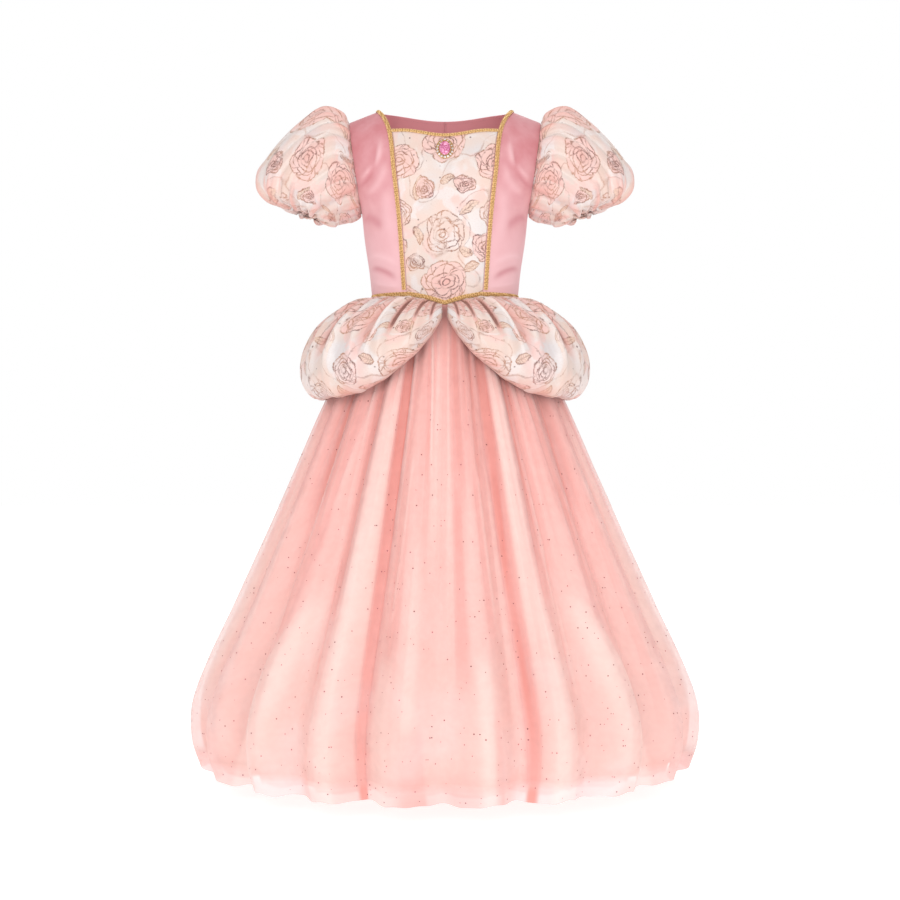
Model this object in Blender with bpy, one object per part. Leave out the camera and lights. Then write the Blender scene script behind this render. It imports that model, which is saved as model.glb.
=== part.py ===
"""Princess costume dress for a child of five or six, filled out as it is worn.

The origin lies midway between the neck ends of the two shoulder seams, where the wearer's
shoulders hold the dress. +Z is up, the front faces -Y and the wearer's left is at +X.
Lengths are in metres. Each cut piece is a closed wall of cloth, and seams stand a hair open.
"""

import math
from collections import namedtuple

import bmesh
import bpy
from mathutils import Vector

# Cloth walls and the gaps at seams
VELOUR_WALL = 0.0015
SATIN_WALL = 0.0012
TULLE_WALL = 0.0010
BRAID_WALL = 0.0020
SEAM_GAP = 0.00036
LAY_GAP = 0.0003
SKIRT_SEAM_GAP = 0.0006

# Bodice: one smooth torso form, a ring for each level
WAIST_LEVEL = -0.264
CHEST_LEVEL = -0.115
FULLNESS = 2.4
TorsoRow = namedtuple("TorsoRow", "level half_width front_depth back_depth")
TORSO = (
    TorsoRow(-0.264, 0.1000, 0.0790, 0.0750),
    TorsoRow(-0.225, 0.1040, 0.0830, 0.0760),
    TorsoRow(-0.185, 0.1100, 0.0870, 0.0780),
    TorsoRow(-0.1425, 0.1145, 0.0880, 0.0800),
    TorsoRow(-0.115, 0.1170, 0.0880, 0.0800),
)
SHOULDER_CLIMB = 2.2
SHOULDER_ROUND = 1.9

# Armholes: a flat oval from the underarm point to the shoulder point
UNDERARM_LEVEL = -0.1425
UNDERARM_X = 0.1145
SHOULDER_X = 0.1330
ARMHOLE_HEIGHT = 0.125
ARMHOLE_HALF_DEPTH = 0.047
SHOULDER_DROP = -UNDERARM_LEVEL - ARMHOLE_HEIGHT
SLOPE_START = 0.66

# Neck, waist point and seams of the bodice
NECK_X = 0.090
NECKLINE_LEVEL = -0.035
SWEETHEART_DIP = 0.008
SWEETHEART_HALF = 0.060
BACK_NECK_LEVEL = -0.030
BACK_NECK_ROUND = 0.8
BACK_LIFT = 0.048
WAIST_POINT_DIP = 0.0125
WAIST_POINT_HALF = 0.050
WAIST_POINT_POWER = 1.4
SeamRow = namedtuple("SeamRow", "level x")
PRINCESS_SEAM = (
    SeamRow(-0.264, 0.0510),
    SeamRow(-0.161, 0.0580),
    SeamRow(-0.094, 0.0655),
    SeamRow(-0.035, 0.0733),
    SeamRow(0.000, 0.0900),
)
BRAID_WIDTH = 0.006
PANEL_LEVELS = (-0.225, -0.185)
ARMHOLE_STEPS = 8
FRONT_COLUMNS = 10
SIDE_FRONT_COLUMNS = 5
BACK_NECK_COLUMNS = 5
BACK_SHOULDER_COLUMNS = 3

# Puff sleeves: a fan of rings, from an inner to an outer point, x and z of each
SleeveRow = namedtuple("SleeveRow", "inner_x inner_z outer_x outer_z half_depth gather")
SLEEVE = (
    SleeveRow(0.1215, -0.1480, 0.1450, -0.0030, 0.0560, 0.0020),
    SleeveRow(0.1290, -0.1520, 0.1700, 0.0035, 0.0640, 0.0028),
    SleeveRow(0.1370, -0.1550, 0.2020, -0.0150, 0.0700, 0.0022),
    SleeveRow(0.1450, -0.1570, 0.2340, -0.0460, 0.0720, 0.0015),
    SleeveRow(0.1520, -0.1580, 0.2560, -0.0780, 0.0690, 0.0018),
    SleeveRow(0.1590, -0.1575, 0.2600, -0.1050, 0.0610, 0.0026),
    SleeveRow(0.1660, -0.1545, 0.2480, -0.1220, 0.0480, 0.0030),
    SleeveRow(0.1735, -0.1500, 0.2270, -0.1310, 0.0300, 0.0020),
)
SLEEVE_GATHERS = 20
HEAD_CLEAR = 0.0021
HEAD_CLEAR_AT_SHOULDER = 0.0007

# Skirt: rings of the outer tulle, with the depth of the folds at each
SKIRT_TOP = WAIST_LEVEL - SKIRT_SEAM_GAP
SkirtRow = namedtuple("SkirtRow", "z half_width half_depth fold gather fullness")
SKIRT = (
    SkirtRow(SKIRT_TOP, 0.1000, 0.0770, 0.000, 0.0000, 2.40),
    SkirtRow(-0.3000, 0.1110, 0.0900, 0.003, 0.0014, 2.25),
    SkirtRow(-0.3500, 0.1350, 0.1150, 0.006, 0.0014, 2.10),
    SkirtRow(-0.4030, 0.1640, 0.1470, 0.010, 0.0008, 2.00),
    SkirtRow(-0.4890, 0.2020, 0.1890, 0.015, 0.0000, 2.00),
    SkirtRow(-0.5870, 0.2450, 0.2340, 0.020, 0.0000, 2.00),
    SkirtRow(-0.6870, 0.2910, 0.2820, 0.024, 0.0000, 2.00),
    SkirtRow(-0.7600, 0.3260, 0.3180, 0.027, 0.0000, 2.00),
    SkirtRow(-0.8200, 0.3475, 0.3400, 0.028, 0.0000, 2.00),
    SkirtRow(-0.8700, 0.3480, 0.3410, 0.028, 0.0000, 2.00),
    SkirtRow(-0.9080, 0.3360, 0.3300, 0.026, 0.0000, 2.00),
)
WAIST_CENTRE_Y = -0.0020
WAIST_FADE_DEPTH = 0.130
SatinPanel = namedtuple("SatinPanel", "word start_deg end_deg")
SATIN_PANELS = (
    SatinPanel("front", 315, 45),
    SatinPanel("left", 45, 135),
    SatinPanel("back", 135, 225),
    SatinPanel("right", 225, 315),
)
Fold = namedtuple("Fold", "trough_deg depth")
FOLDS = (
    Fold(0, 0.75), Fold(17, 1.15), Fold(34, 0.85), Fold(52, 1.00), Fold(71, 0.90),
    Fold(90, 0.80), Fold(109, 1.05), Fold(127, 0.85), Fold(145, 1.10), Fold(162, 0.90),
    Fold(180, 0.80), Fold(198, 1.10), Fold(216, 0.85), Fold(234, 1.05), Fold(252, 0.90),
    Fold(270, 0.80), Fold(289, 0.95), Fold(308, 1.05), Fold(325, 0.85), Fold(342, 1.20),
)
POINTS_A_FOLD = 5
SATIN_LEVELS = (SKIRT_TOP, -0.300, -0.403, -0.587, -0.720, -0.820, -0.898)
TULLE_LEVELS = (SKIRT_TOP, -0.300, -0.403, -0.489, -0.587, -0.687, -0.760, -0.820, -0.870, -0.908)
LayerRow = namedtuple("LayerRow", "z inset")
SATIN_INSET = (
    LayerRow(SKIRT_TOP, 0.0000),
    LayerRow(-0.300, 0.0010),
    LayerRow(-0.403, 0.0035),
    LayerRow(-0.587, 0.0065),
    LayerRow(-0.820, 0.0110),
    LayerRow(-0.898, 0.0130),
)
TULLE_OUT = 0.0022

# Hip swags: gathered at the waist, puffed, and rolled under at the lower edge
SWAG_DROP = 0.143
SWAG_REACH = 0.0895
SWAG_LEAST_REACH = 0.006
SWAG_OUT = 0.0037
SWAG_TOP = WAIST_LEVEL - 0.0017
SWAG_FULL_DEG = 50.0
SWAG_EDGE_POWER = 0.55
SWAG_START_DEG = 1.2
SWAG_GATHERS = 14
POINTS_A_GATHER = 3
SwagRow = namedtuple("SwagRow", "reach drop gather")
SWAG = (
    SwagRow(0.000, 0.000, 0.0000),
    SwagRow(0.170, 0.012, 0.0012),
    SwagRow(0.420, 0.090, 0.0035),
    SwagRow(0.750, 0.280, 0.0055),
    SwagRow(0.940, 0.510, 0.0050),
    SwagRow(1.000, 0.730, 0.0035),
    SwagRow(0.950, 0.880, 0.0025),
    SwagRow(0.840, 0.970, 0.0020),
    SwagRow(0.720, 0.985, 0.0010),
)

# Jewel at the neckline: a drop-shaped stone in a ring of small crystals
JEWEL_LEVEL = -0.0655
STONE_HALF_WIDTH = 0.0085
STONE_HALF_HEIGHT = 0.0110
SETTING_HALF_WIDTH = 0.0123
SETTING_HALF_HEIGHT = 0.0152
SETTING_HEIGHT = 0.0028
STONE_HEIGHT = 0.0052
CRYSTALS = 16
STONE_SIDES = 12
DROP_POINT = 0.22
LOW_LOBE_WIDTH = 0.72
LOW_LOBE_HEIGHT = 0.60
LOBE_SHOULDER = 0.45
LOBE_INNER = 0.70
StoneRow = namedtuple("StoneRow", "scale height turned")
STONE = (
    StoneRow(1.00, 0.00, False),
    StoneRow(1.00, 0.45, False),
    StoneRow(0.78, 0.80, True),
    StoneRow(0.50, 1.00, False),
)

Finish = namedtuple("Finish", "colour roughness metallic")
FINISHES = {
    "rose_velour": Finish("DE9AA8", 0.75, 0.0),
    "rose_brocade": Finish("F2E0DA", 0.45, 0.0),
    "peach_satin": Finish("F9C4B4", 0.35, 0.0),
    "pink_tulle": Finish("FBC8C4", 0.60, 0.0),
    "gold_gimp_braid": Finish("D9A860", 0.45, 0.6),
    "pink_glass": Finish("E0609A", 0.10, 0.0),
    "gilt_setting": Finish("D8AE68", 0.25, 1.0),
}


def clear_scene():
    """Removes what the file holds, so that only the dress is in it."""
    for thing in list(bpy.data.objects):
        bpy.data.objects.remove(thing, do_unlink=True)


def linear(value):
    """One sRGB channel from 0 to 1, made linear."""
    return value / 12.92 if value <= 0.04045 else ((value + 0.055) / 1.055) ** 2.4


def material(name):
    """The finish of that name as a material, made once."""
    if name in bpy.data.materials:
        return bpy.data.materials[name]
    finish = FINISHES[name]
    made = bpy.data.materials.new(name)
    made.use_nodes = True
    shader = made.node_tree.nodes["Principled BSDF"]
    channels = [linear(int(finish.colour[i:i + 2], 16) / 255) for i in (0, 2, 4)]
    shader.inputs["Base Color"].default_value = (*channels, 1.0)
    shader.inputs["Roughness"].default_value = finish.roughness
    shader.inputs["Metallic"].default_value = finish.metallic
    return made


def along(rows, value, column):
    """The column's value on a smooth curve through the rows, whose first column is the key."""
    rows = sorted(rows)
    keys = [row[0] for row in rows]
    heights = [getattr(row, column) for row in rows]
    last = len(rows) - 1
    value = min(max(value, keys[0]), keys[last])
    place = max(i for i in range(last) if keys[i] <= value)

    def slope(i):
        low, high = max(i - 1, 0), min(i + 1, last)
        return (heights[high] - heights[low]) / (keys[high] - keys[low])

    span = keys[place + 1] - keys[place]
    t = (value - keys[place]) / span
    start = (1 + 2 * t) * (1 - t) ** 2 * heights[place] + t * (1 - t) ** 2 * span * slope(place)
    end = t * t * (3 - 2 * t) * heights[place + 1] - t * t * (1 - t) * span * slope(place + 1)
    return start + end


def power(value, exponent):
    """A signed power, for the sides of a rounded ring."""
    return math.copysign(abs(value) ** exponent, value)


def add_mesh(name, corners, faces, finish):
    """One closed body from corners and faces, with its faces turned outwards."""
    mesh = bpy.data.meshes.new(name)
    mesh.from_pydata([tuple(corner) for corner in corners], [], faces)
    made = bmesh.new()
    made.from_mesh(mesh)
    bmesh.ops.recalc_face_normals(made, faces=made.faces)
    made.to_mesh(mesh)
    made.free()
    mesh.shade_smooth()
    mesh.set_sharp_from_angle(angle=math.radians(50))
    mesh.materials.append(material(finish))
    thing = bpy.data.objects.new(name, mesh)
    bpy.context.scene.collection.objects.link(thing)
    return thing


def grid_normals(points, closed):
    """A normal for each point of a grid of rows, from the points beside it."""
    rows, columns = len(points), len(points[0])
    normals = []
    for i, row in enumerate(points):
        line = []
        for j in range(columns):
            up = points[min(i + 1, rows - 1)][j] - points[max(i - 1, 0)][j]
            if closed:
                across = row[(j + 1) % columns] - row[j - 1]
            else:
                across = row[min(j + 1, columns - 1)] - row[max(j - 1, 0)]
            line.append(across.cross(up).normalized())
        normals.append(line)
    return normals


def wall(name, points, normals, thickness, finish, closed=False):
    """A wall of cloth: the grid, the same grid moved out by the thickness, and its rims."""
    rows, columns = len(points), len(points[0])
    corners = [point for row in points for point in row]
    for row, line in zip(points, normals):
        corners += [point + normal * thickness for point, normal in zip(row, line)]
    outer = rows * columns
    steps = columns if closed else columns - 1
    faces = []
    for i in range(rows - 1):
        for j in range(steps):
            k = (j + 1) % columns
            a, b = i * columns + j, i * columns + k
            c, d = b + columns, a + columns
            faces.append((a, b, c, d))
            faces.append((outer + a, outer + d, outer + c, outer + b))
    for j in range(steps):
        k = (j + 1) % columns
        top = (rows - 1) * columns
        faces.append((j, outer + j, outer + k, k))
        faces.append((top + j, top + k, outer + top + k, outer + top + j))
    if not closed:
        for i in range(rows - 1):
            a, d = i * columns, (i + 1) * columns
            faces.append((a, d, outer + d, outer + a))
            a, d = a + columns - 1, d + columns - 1
            faces.append((a, outer + a, outer + d, d))
    return add_mesh(name, corners, faces, finish)


def armhole_height(level):
    """How far above the underarm a ring meets the armhole, as the shoulder slopes down to it."""
    above = max(level - UNDERARM_LEVEL, 0.0)
    bend = SHOULDER_DROP / ARMHOLE_HEIGHT ** 2
    return (math.sqrt(1 + 4 * bend * above) - 1) / (2 * bend)


def level_at(height):
    """The ring that meets the armhole this far above the underarm."""
    return UNDERARM_LEVEL + height + SHOULDER_DROP * (height / ARMHOLE_HEIGHT) ** 2


def armhole_edge(height):
    """The armhole's x and its half depth at a height above the underarm."""
    share = min(height / ARMHOLE_HEIGHT, 1.0)
    x = UNDERARM_X + (SHOULDER_X - UNDERARM_X) * share
    return x, ARMHOLE_HALF_DEPTH * math.sqrt(max(0.0, 1 - (2 * share - 1) ** 2))


def torso_depth(level, front):
    """How far the torso stands out before or behind its mid plane."""
    column = "front_depth" if front else "back_depth"
    if level <= CHEST_LEVEL:
        return along(TORSO, level, column)
    climb = min((level - CHEST_LEVEL) / -CHEST_LEVEL, 1.0)
    return getattr(TORSO[-1], column) * (1 - climb ** SHOULDER_CLIMB) ** (1 / SHOULDER_ROUND)


def torso_half_width(level, depth):
    """The ring's half width. Above the underarm the ring runs through the armhole's edge."""
    if level <= UNDERARM_LEVEL:
        return along(TORSO, level, "half_width")
    x, y = armhole_edge(armhole_height(level))
    share = y / depth if depth > y else 0.0
    return x / (1 - share ** FULLNESS) ** (1 / FULLNESS)


def torso_point(level, angle):
    """A point of the torso form. The angle is 0 at centre front and grows towards +X."""
    level = min(level, 0.0)
    front = math.cos(angle) >= 0
    depth = torso_depth(level, front)
    half = torso_half_width(level, depth)
    x = half * power(math.sin(angle), 2 / FULLNESS)
    y = -depth * power(math.cos(angle), 2 / FULLNESS)
    height = armhole_height(level)
    edge, _ = armhole_edge(height)
    slope = max(0.0, (abs(x) / edge - SLOPE_START) / (1 - SLOPE_START))
    z = level - SHOULDER_DROP * (height / ARMHOLE_HEIGHT) ** 2 * min(slope, 1.0)
    if not front and level > CHEST_LEVEL:
        climb = (level - CHEST_LEVEL) / -CHEST_LEVEL
        z += BACK_LIFT * max(0.0, 1 - (x / NECK_X) ** 2) * climb ** 2
    return Vector((x, y, z))


def torso_normal(level, angle):
    """The torso's outward normal, from points a little above, below and to the sides."""
    turn, rise = math.radians(0.4), 0.0004
    across = torso_point(level, angle + turn) - torso_point(level, angle - turn)
    up = torso_point(level + rise, angle) - torso_point(level - rise, angle)
    return across.cross(up).normalized()


def angle_at(x, level, front=True):
    """The angle, from centre front or centre back, whose ring point has this x."""
    half = torso_half_width(level, torso_depth(level, front))
    return math.asin(min(abs(x) / half, 1.0) ** (FULLNESS / 2)) * math.copysign(1, x)


def waist_edge(x):
    """The level of the bodice's lower edge, with its small point at centre front."""
    share = max(0.0, 1 - abs(x) / WAIST_POINT_HALF)
    return WAIST_LEVEL - WAIST_POINT_DIP * share ** WAIST_POINT_POWER


def neck_edge(x):
    """The level of the front panel's upper edge, with its sweetheart dip."""
    share = min(abs(x) / SWEETHEART_HALF, 1.0)
    return NECKLINE_LEVEL - SWEETHEART_DIP * math.cos(share * math.pi / 2) ** 2


def mirrored(points, normals, side):
    """The grid as it is, or mirrored to the wearer's right when side is -1."""
    flip = Vector((side, 1, 1))
    if side > 0:
        return points, normals
    return ([[point * flip for point in row] for row in points],
            [[normal * flip for normal in row] for row in normals])


def front_panel_grid():
    """Points and normals of the front panel, from the waist point up to the sweetheart neck."""
    points, normals = [], []
    for nominal in panel_levels():
        if nominal > NECKLINE_LEVEL:
            break
        share = (nominal - WAIST_LEVEL) / (NECKLINE_LEVEL - WAIST_LEVEL)
        edge = along(PRINCESS_SEAM, nominal, "x") - SEAM_GAP / 2
        line, turned = [], []
        for j in range(FRONT_COLUMNS + 1):
            x = edge * (2 * j / FRONT_COLUMNS - 1)
            level = waist_edge(x) + (neck_edge(x) - waist_edge(x)) * share
            angle = angle_at(x, level)
            line.append(torso_point(level, angle))
            turned.append(torso_normal(level, angle))
        points.append(line)
        normals.append(turned)
    return points, normals


def panel_levels():
    """The levels of the side panels' rows, closest together round the armhole."""
    lower = [WAIST_LEVEL, WAIST_LEVEL + BRAID_WIDTH, *PANEL_LEVELS, UNDERARM_LEVEL]
    turn = math.pi / ARMHOLE_STEPS
    rises = [ARMHOLE_HEIGHT * (1 - math.cos(turn * i)) / 2 for i in range(1, ARMHOLE_STEPS)]
    upper = [level_at(rise) for rise in rises] + [NECKLINE_LEVEL - BRAID_WIDTH, NECKLINE_LEVEL, 0.0]
    return lower + sorted(upper)


def outer_x(level, front):
    """The x of the side seam, or above the underarm of the armhole's edge."""
    if level <= UNDERARM_LEVEL:
        return torso_half_width(level, torso_depth(level, front))
    return armhole_edge(armhole_height(level))[0]


def spread(start, end, count):
    """Shares of the outer x from start to end, evenly spaced as the ring turns."""
    turns = [math.asin(share ** (FULLNESS / 2)) for share in (start, end)]
    steps = [turns[0] + (turns[1] - turns[0]) * i / count for i in range(count + 1)]
    return [math.sin(turn) ** (2 / FULLNESS) for turn in steps]


def side_front_grid():
    """Points and normals of the left side front, from the princess seam to the side seam."""
    points, normals = [], []
    for level in panel_levels():
        seam = along(PRINCESS_SEAM, level, "x") + SEAM_GAP / 2
        edge = outer_x(level, True)
        shares = [seam / edge] + spread((seam + BRAID_WIDTH) / edge, 1.0, SIDE_FRONT_COLUMNS)
        angles = [angle_at(share * edge, level) for share in shares]
        line = [torso_point(level, angle) for angle in angles]
        turned = [torso_normal(level, angle) for angle in angles]
        if level <= UNDERARM_LEVEL:
            line[-1].y = -SEAM_GAP / 2
            turned[-1] = Vector((turned[-1].x, 0, turned[-1].z)).normalized()
        points.append(line)
        normals.append(turned)
    close_shoulder(points, normals, -1)
    return points, normals


def close_shoulder(points, normals, way):
    """Puts the top row on its own side of the shoulder seam, with its wall upright there."""
    for j, point in enumerate(points[-1]):
        if abs(point.x) >= NECK_X - SEAM_GAP:
            point.y = way * SEAM_GAP / 2
            upright = normals[-1][j]
            normals[-1][j] = Vector((upright.x, 0, upright.z)).normalized()


def back_top(x):
    """The level of the back neck edge at this x, and of the shoulder ridge beyond it."""
    share = min(abs(x) / NECK_X, 1.0)
    return BACK_NECK_LEVEL * (1 - share ** 2) ** BACK_NECK_ROUND


def back_grid():
    """Points and normals of the left back, from the centre back to the side seam."""
    neck = NECK_X / SHOULDER_X
    shares = spread(0.0, neck, BACK_NECK_COLUMNS) + spread(neck, 1.0, BACK_SHOULDER_COLUMNS)[1:]
    points, normals = [], []
    for nominal in panel_levels():
        line, turned = [], []
        for share in shares:
            rise = (back_top(share * SHOULDER_X) - WAIST_LEVEL) / -WAIST_LEVEL
            level = WAIST_LEVEL + (nominal - WAIST_LEVEL) * rise
            turn = math.pi - angle_at(share * outer_x(level, False), level, False)
            line.append(torso_point(level, turn))
            turned.append(torso_normal(level, turn))
        line[0].x = SEAM_GAP / 2
        turned[0] = Vector((0, turned[0].y, turned[0].z)).normalized()
        if nominal <= UNDERARM_LEVEL:
            line[-1].y = SEAM_GAP / 2
            turned[-1] = Vector((turned[-1].x, 0, turned[-1].z)).normalized()
        points.append(line)
        normals.append(turned)
    close_shoulder(points, normals, 1)
    return points, normals


def moved_out(points, normals, distance):
    """The grid moved out along its normals."""
    return [[p + n * distance for p, n in zip(row, line)] for row, line in zip(points, normals)]


def add_bodice():
    """The five panels of the bodice and the gold braid laid along their seams."""
    front, front_normals = front_panel_grid()
    wall("front_panel", front, front_normals, VELOUR_WALL, "rose_brocade")
    side_front, side_front_normals = side_front_grid()
    back, back_normals = back_grid()
    lift = VELOUR_WALL + LAY_GAP
    for side, word in ((1, "left"), (-1, "right")):
        points, normals = mirrored(side_front, side_front_normals, side)
        wall(f"side_front_{word}", points, normals, VELOUR_WALL, "rose_velour")
        edge = [row[:2] for row in points[1:]]
        edge_normals = [row[:2] for row in normals[1:]]
        raised = moved_out(edge, edge_normals, lift)
        shorten = Vector((0, 0, SKIRT_SEAM_GAP))
        raised[0] = [point + shorten for point in raised[0]]
        wall(f"braid_princess_{word}", raised, edge_normals, BRAID_WALL, "gold_gimp_braid")
        points, normals = mirrored(back, back_normals, side)
        wall(f"back_{word}", points, normals, VELOUR_WALL, "rose_velour")
    neck = moved_out(front[-2:], front_normals[-2:], lift)
    for row in neck:
        row[0].x += SKIRT_SEAM_GAP
        row[-1].x -= SKIRT_SEAM_GAP
    wall("braid_neck", neck, front_normals[-2:], BRAID_WALL, "gold_gimp_braid")
    waist, waist_normals = [], []
    for i in range(2):
        right, right_normals = mirrored([side_front[i]], [side_front_normals[i]], -1)
        waist.append(right[0][::-1] + front[i] + side_front[i])
        waist_normals.append(right_normals[0][::-1] + front_normals[i] + side_front_normals[i])
    raised = moved_out(waist, waist_normals, lift)
    wall("braid_waist", raised, waist_normals, BRAID_WALL, "gold_gimp_braid")


def sleeve_grid():
    """Points of the left puff sleeve, from the armhole to the elastic cuff."""
    columns = 2 * SLEEVE_GATHERS
    head = []
    for j in range(columns):
        turn = 2 * math.pi * j / columns
        share = (1 + math.cos(turn)) / 2
        x, _ = armhole_edge(ARMHOLE_HEIGHT * share)
        clear = HEAD_CLEAR + (HEAD_CLEAR_AT_SHOULDER - HEAD_CLEAR) * share ** 3
        y = -ARMHOLE_HALF_DEPTH * math.sin(turn)
        head.append(Vector((x + clear, y, UNDERARM_LEVEL + ARMHOLE_HEIGHT * share)))
    points = [head]
    for row in SLEEVE:
        inner = Vector((row.inner_x, 0, row.inner_z))
        outer = Vector((row.outer_x, 0, row.outer_z))
        middle, reach = (inner + outer) / 2, (outer - inner) / 2
        line = []
        for j in range(columns):
            turn = 2 * math.pi * j / columns
            arm = reach * math.cos(turn) + Vector((0, -row.half_depth * math.sin(turn), 0))
            wave = row.gather * (1 if j % 2 else -1)
            line.append(middle + arm + arm.normalized() * wave)
        points.append(line)
    return points


def add_sleeves():
    """Both puff sleeves."""
    points = sleeve_grid()
    normals = [[-n for n in line] for line in grid_normals(points, True)]
    for side, word in ((1, "left"), (-1, "right")):
        turned_points, turned_normals = mirrored(points, normals, side)
        wall(f"sleeve_{word}", turned_points, turned_normals, SATIN_WALL, "rose_brocade", True)


def skirt_point(z, angle, share, depth, out):
    """A point of the skirt. share runs from one fold's trough, 0, to the next one's, 1."""
    half_width = along(SKIRT, z, "half_width") + out
    half_depth = along(SKIRT, z, "half_depth") + out
    fullness = along(SKIRT, z, "fullness")
    dent = along(SKIRT, z, "fold") * depth * (1 + math.cos(2 * math.pi * share)) / 2
    wave = along(SKIRT, z, "gather") * math.cos(4 * math.pi * share)
    x = (half_width - dent + wave) * power(math.sin(angle), 2 / fullness)
    y = -(half_depth - dent + wave) * power(math.cos(angle), 2 / fullness)
    fade = max(0.0, 1 - (WAIST_LEVEL - z) / WAIST_FADE_DEPTH)
    y += WAIST_CENTRE_Y * fade
    front = math.cos(angle) > 0
    dip = (WAIST_LEVEL - waist_edge(x)) * fade if front else 0.0
    return Vector((x, y, z - dip))


def skirt_normals(points):
    """Outward normals of a skirt's rings, level along its waist so that the seam stays even."""
    normals = [[-normal for normal in line] for line in grid_normals(points, True)]
    normals[0] = [Vector((normal.x, normal.y, 0)).normalized() for normal in normals[0]]
    return normals


def skirt_columns():
    """The angle, share and depth of each column of points round the skirt."""
    columns = []
    for number, fold in enumerate(FOLDS):
        following = FOLDS[(number + 1) % len(FOLDS)]
        span = (following.trough_deg - fold.trough_deg) % 360
        for i in range(POINTS_A_FOLD):
            share = i / POINTS_A_FOLD
            angle = math.radians(fold.trough_deg + span * share)
            columns.append((angle, share, fold.depth + (following.depth - fold.depth) * share))
    return columns


def seam_column(columns, degrees):
    """The column of points that lies nearest to a seam's place."""
    return min(range(len(columns)), key=lambda j: abs(math.degrees(columns[j][0]) - degrees))


def add_skirt():
    """The four panels of the satin skirt, and the tulle that hangs over them all round."""
    columns = skirt_columns()
    tulle = [[skirt_point(z, *column, TULLE_OUT) for column in columns] for z in TULLE_LEVELS]
    wall("tulle_overskirt", tulle, skirt_normals(tulle), TULLE_WALL, "pink_tulle", True)
    satin = [
        [skirt_point(z, *column, -along(SATIN_INSET, z, "inset")) for column in columns]
        for z in SATIN_LEVELS
    ]
    normals = skirt_normals(satin)
    for panel in SATIN_PANELS:
        start = seam_column(columns, panel.start_deg)
        steps = (seam_column(columns, panel.end_deg) - start) % len(columns)
        picks = [j % len(columns) for j in range(start, start + steps + 1)]
        points = [[row[j].copy() for j in picks] for row in satin]
        turned = [[line[j].copy() for j in picks] for line in normals]
        for j, way in ((0, 1), (-1, -1)):
            angle = columns[picks[j]][0]
            around = Vector((math.cos(angle), math.sin(angle), 0))
            for row, line in zip(points, turned):
                row[j] += around * way * SEAM_GAP / 2
                line[j] -= around * line[j].dot(around)
                line[j].normalize()
        wall(f"satin_skirt_{panel.word}", points, turned, SATIN_WALL, "peach_satin")


def swag_grid():
    """Points of the left hip swag, from centre front round to centre back."""
    steps = SWAG_GATHERS * POINTS_A_GATHER
    points = []
    for row in SWAG:
        line = []
        for j in range(steps + 1):
            share = j / steps
            degrees = SWAG_START_DEG + (180 - 2 * SWAG_START_DEG) * share
            angle = math.radians(degrees)
            turn = min(degrees, 180 - degrees) / SWAG_FULL_DEG
            size = math.sin(min(turn, 1.0) * math.pi / 2) ** SWAG_EDGE_POWER
            reach = SWAG_LEAST_REACH + SWAG_REACH * size
            wave = row.gather * size * math.cos(2 * math.pi * SWAG_GATHERS * share)
            start = skirt_point(SWAG_TOP, angle, 0.5, 0.0, SWAG_OUT)
            out = Vector((math.sin(angle), -math.cos(angle), 0))
            down = Vector((0, 0, -SWAG_DROP * size * row.drop))
            line.append(start + out * (reach * row.reach + wave) + down)
        points.append(line)
    return points


def add_swags():
    """The puffed swag over each hip."""
    points = swag_grid()
    normals = [[-n for n in line] for line in grid_normals(points, False)]
    for side, word in ((1, "left"), (-1, "right")):
        turned_points, turned_normals = mirrored(points, normals, side)
        wall(f"hip_swag_{word}", turned_points, turned_normals, SATIN_WALL, "rose_brocade")


def drop_outline(turn, half_width, half_height):
    """A point on a drop-shaped outline, pointed at the top."""
    narrowing = 1 - DROP_POINT * math.cos(turn) if math.cos(turn) > 0 else 1.0
    return half_width * math.sin(turn) * narrowing, half_height * math.cos(turn)


def place_jewel(corners):
    """Jewel points, drawn flat with height towards the viewer, set onto the front panel."""
    centre = torso_point(JEWEL_LEVEL, 0.0)
    normal = torso_normal(JEWEL_LEVEL, 0.0)
    seat = centre + normal * (VELOUR_WALL + LAY_GAP)
    across = Vector((1, 0, 0))
    up = normal.cross(across)
    return [seat + across * x + up * y + normal * height for x, y, height in corners]


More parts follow.
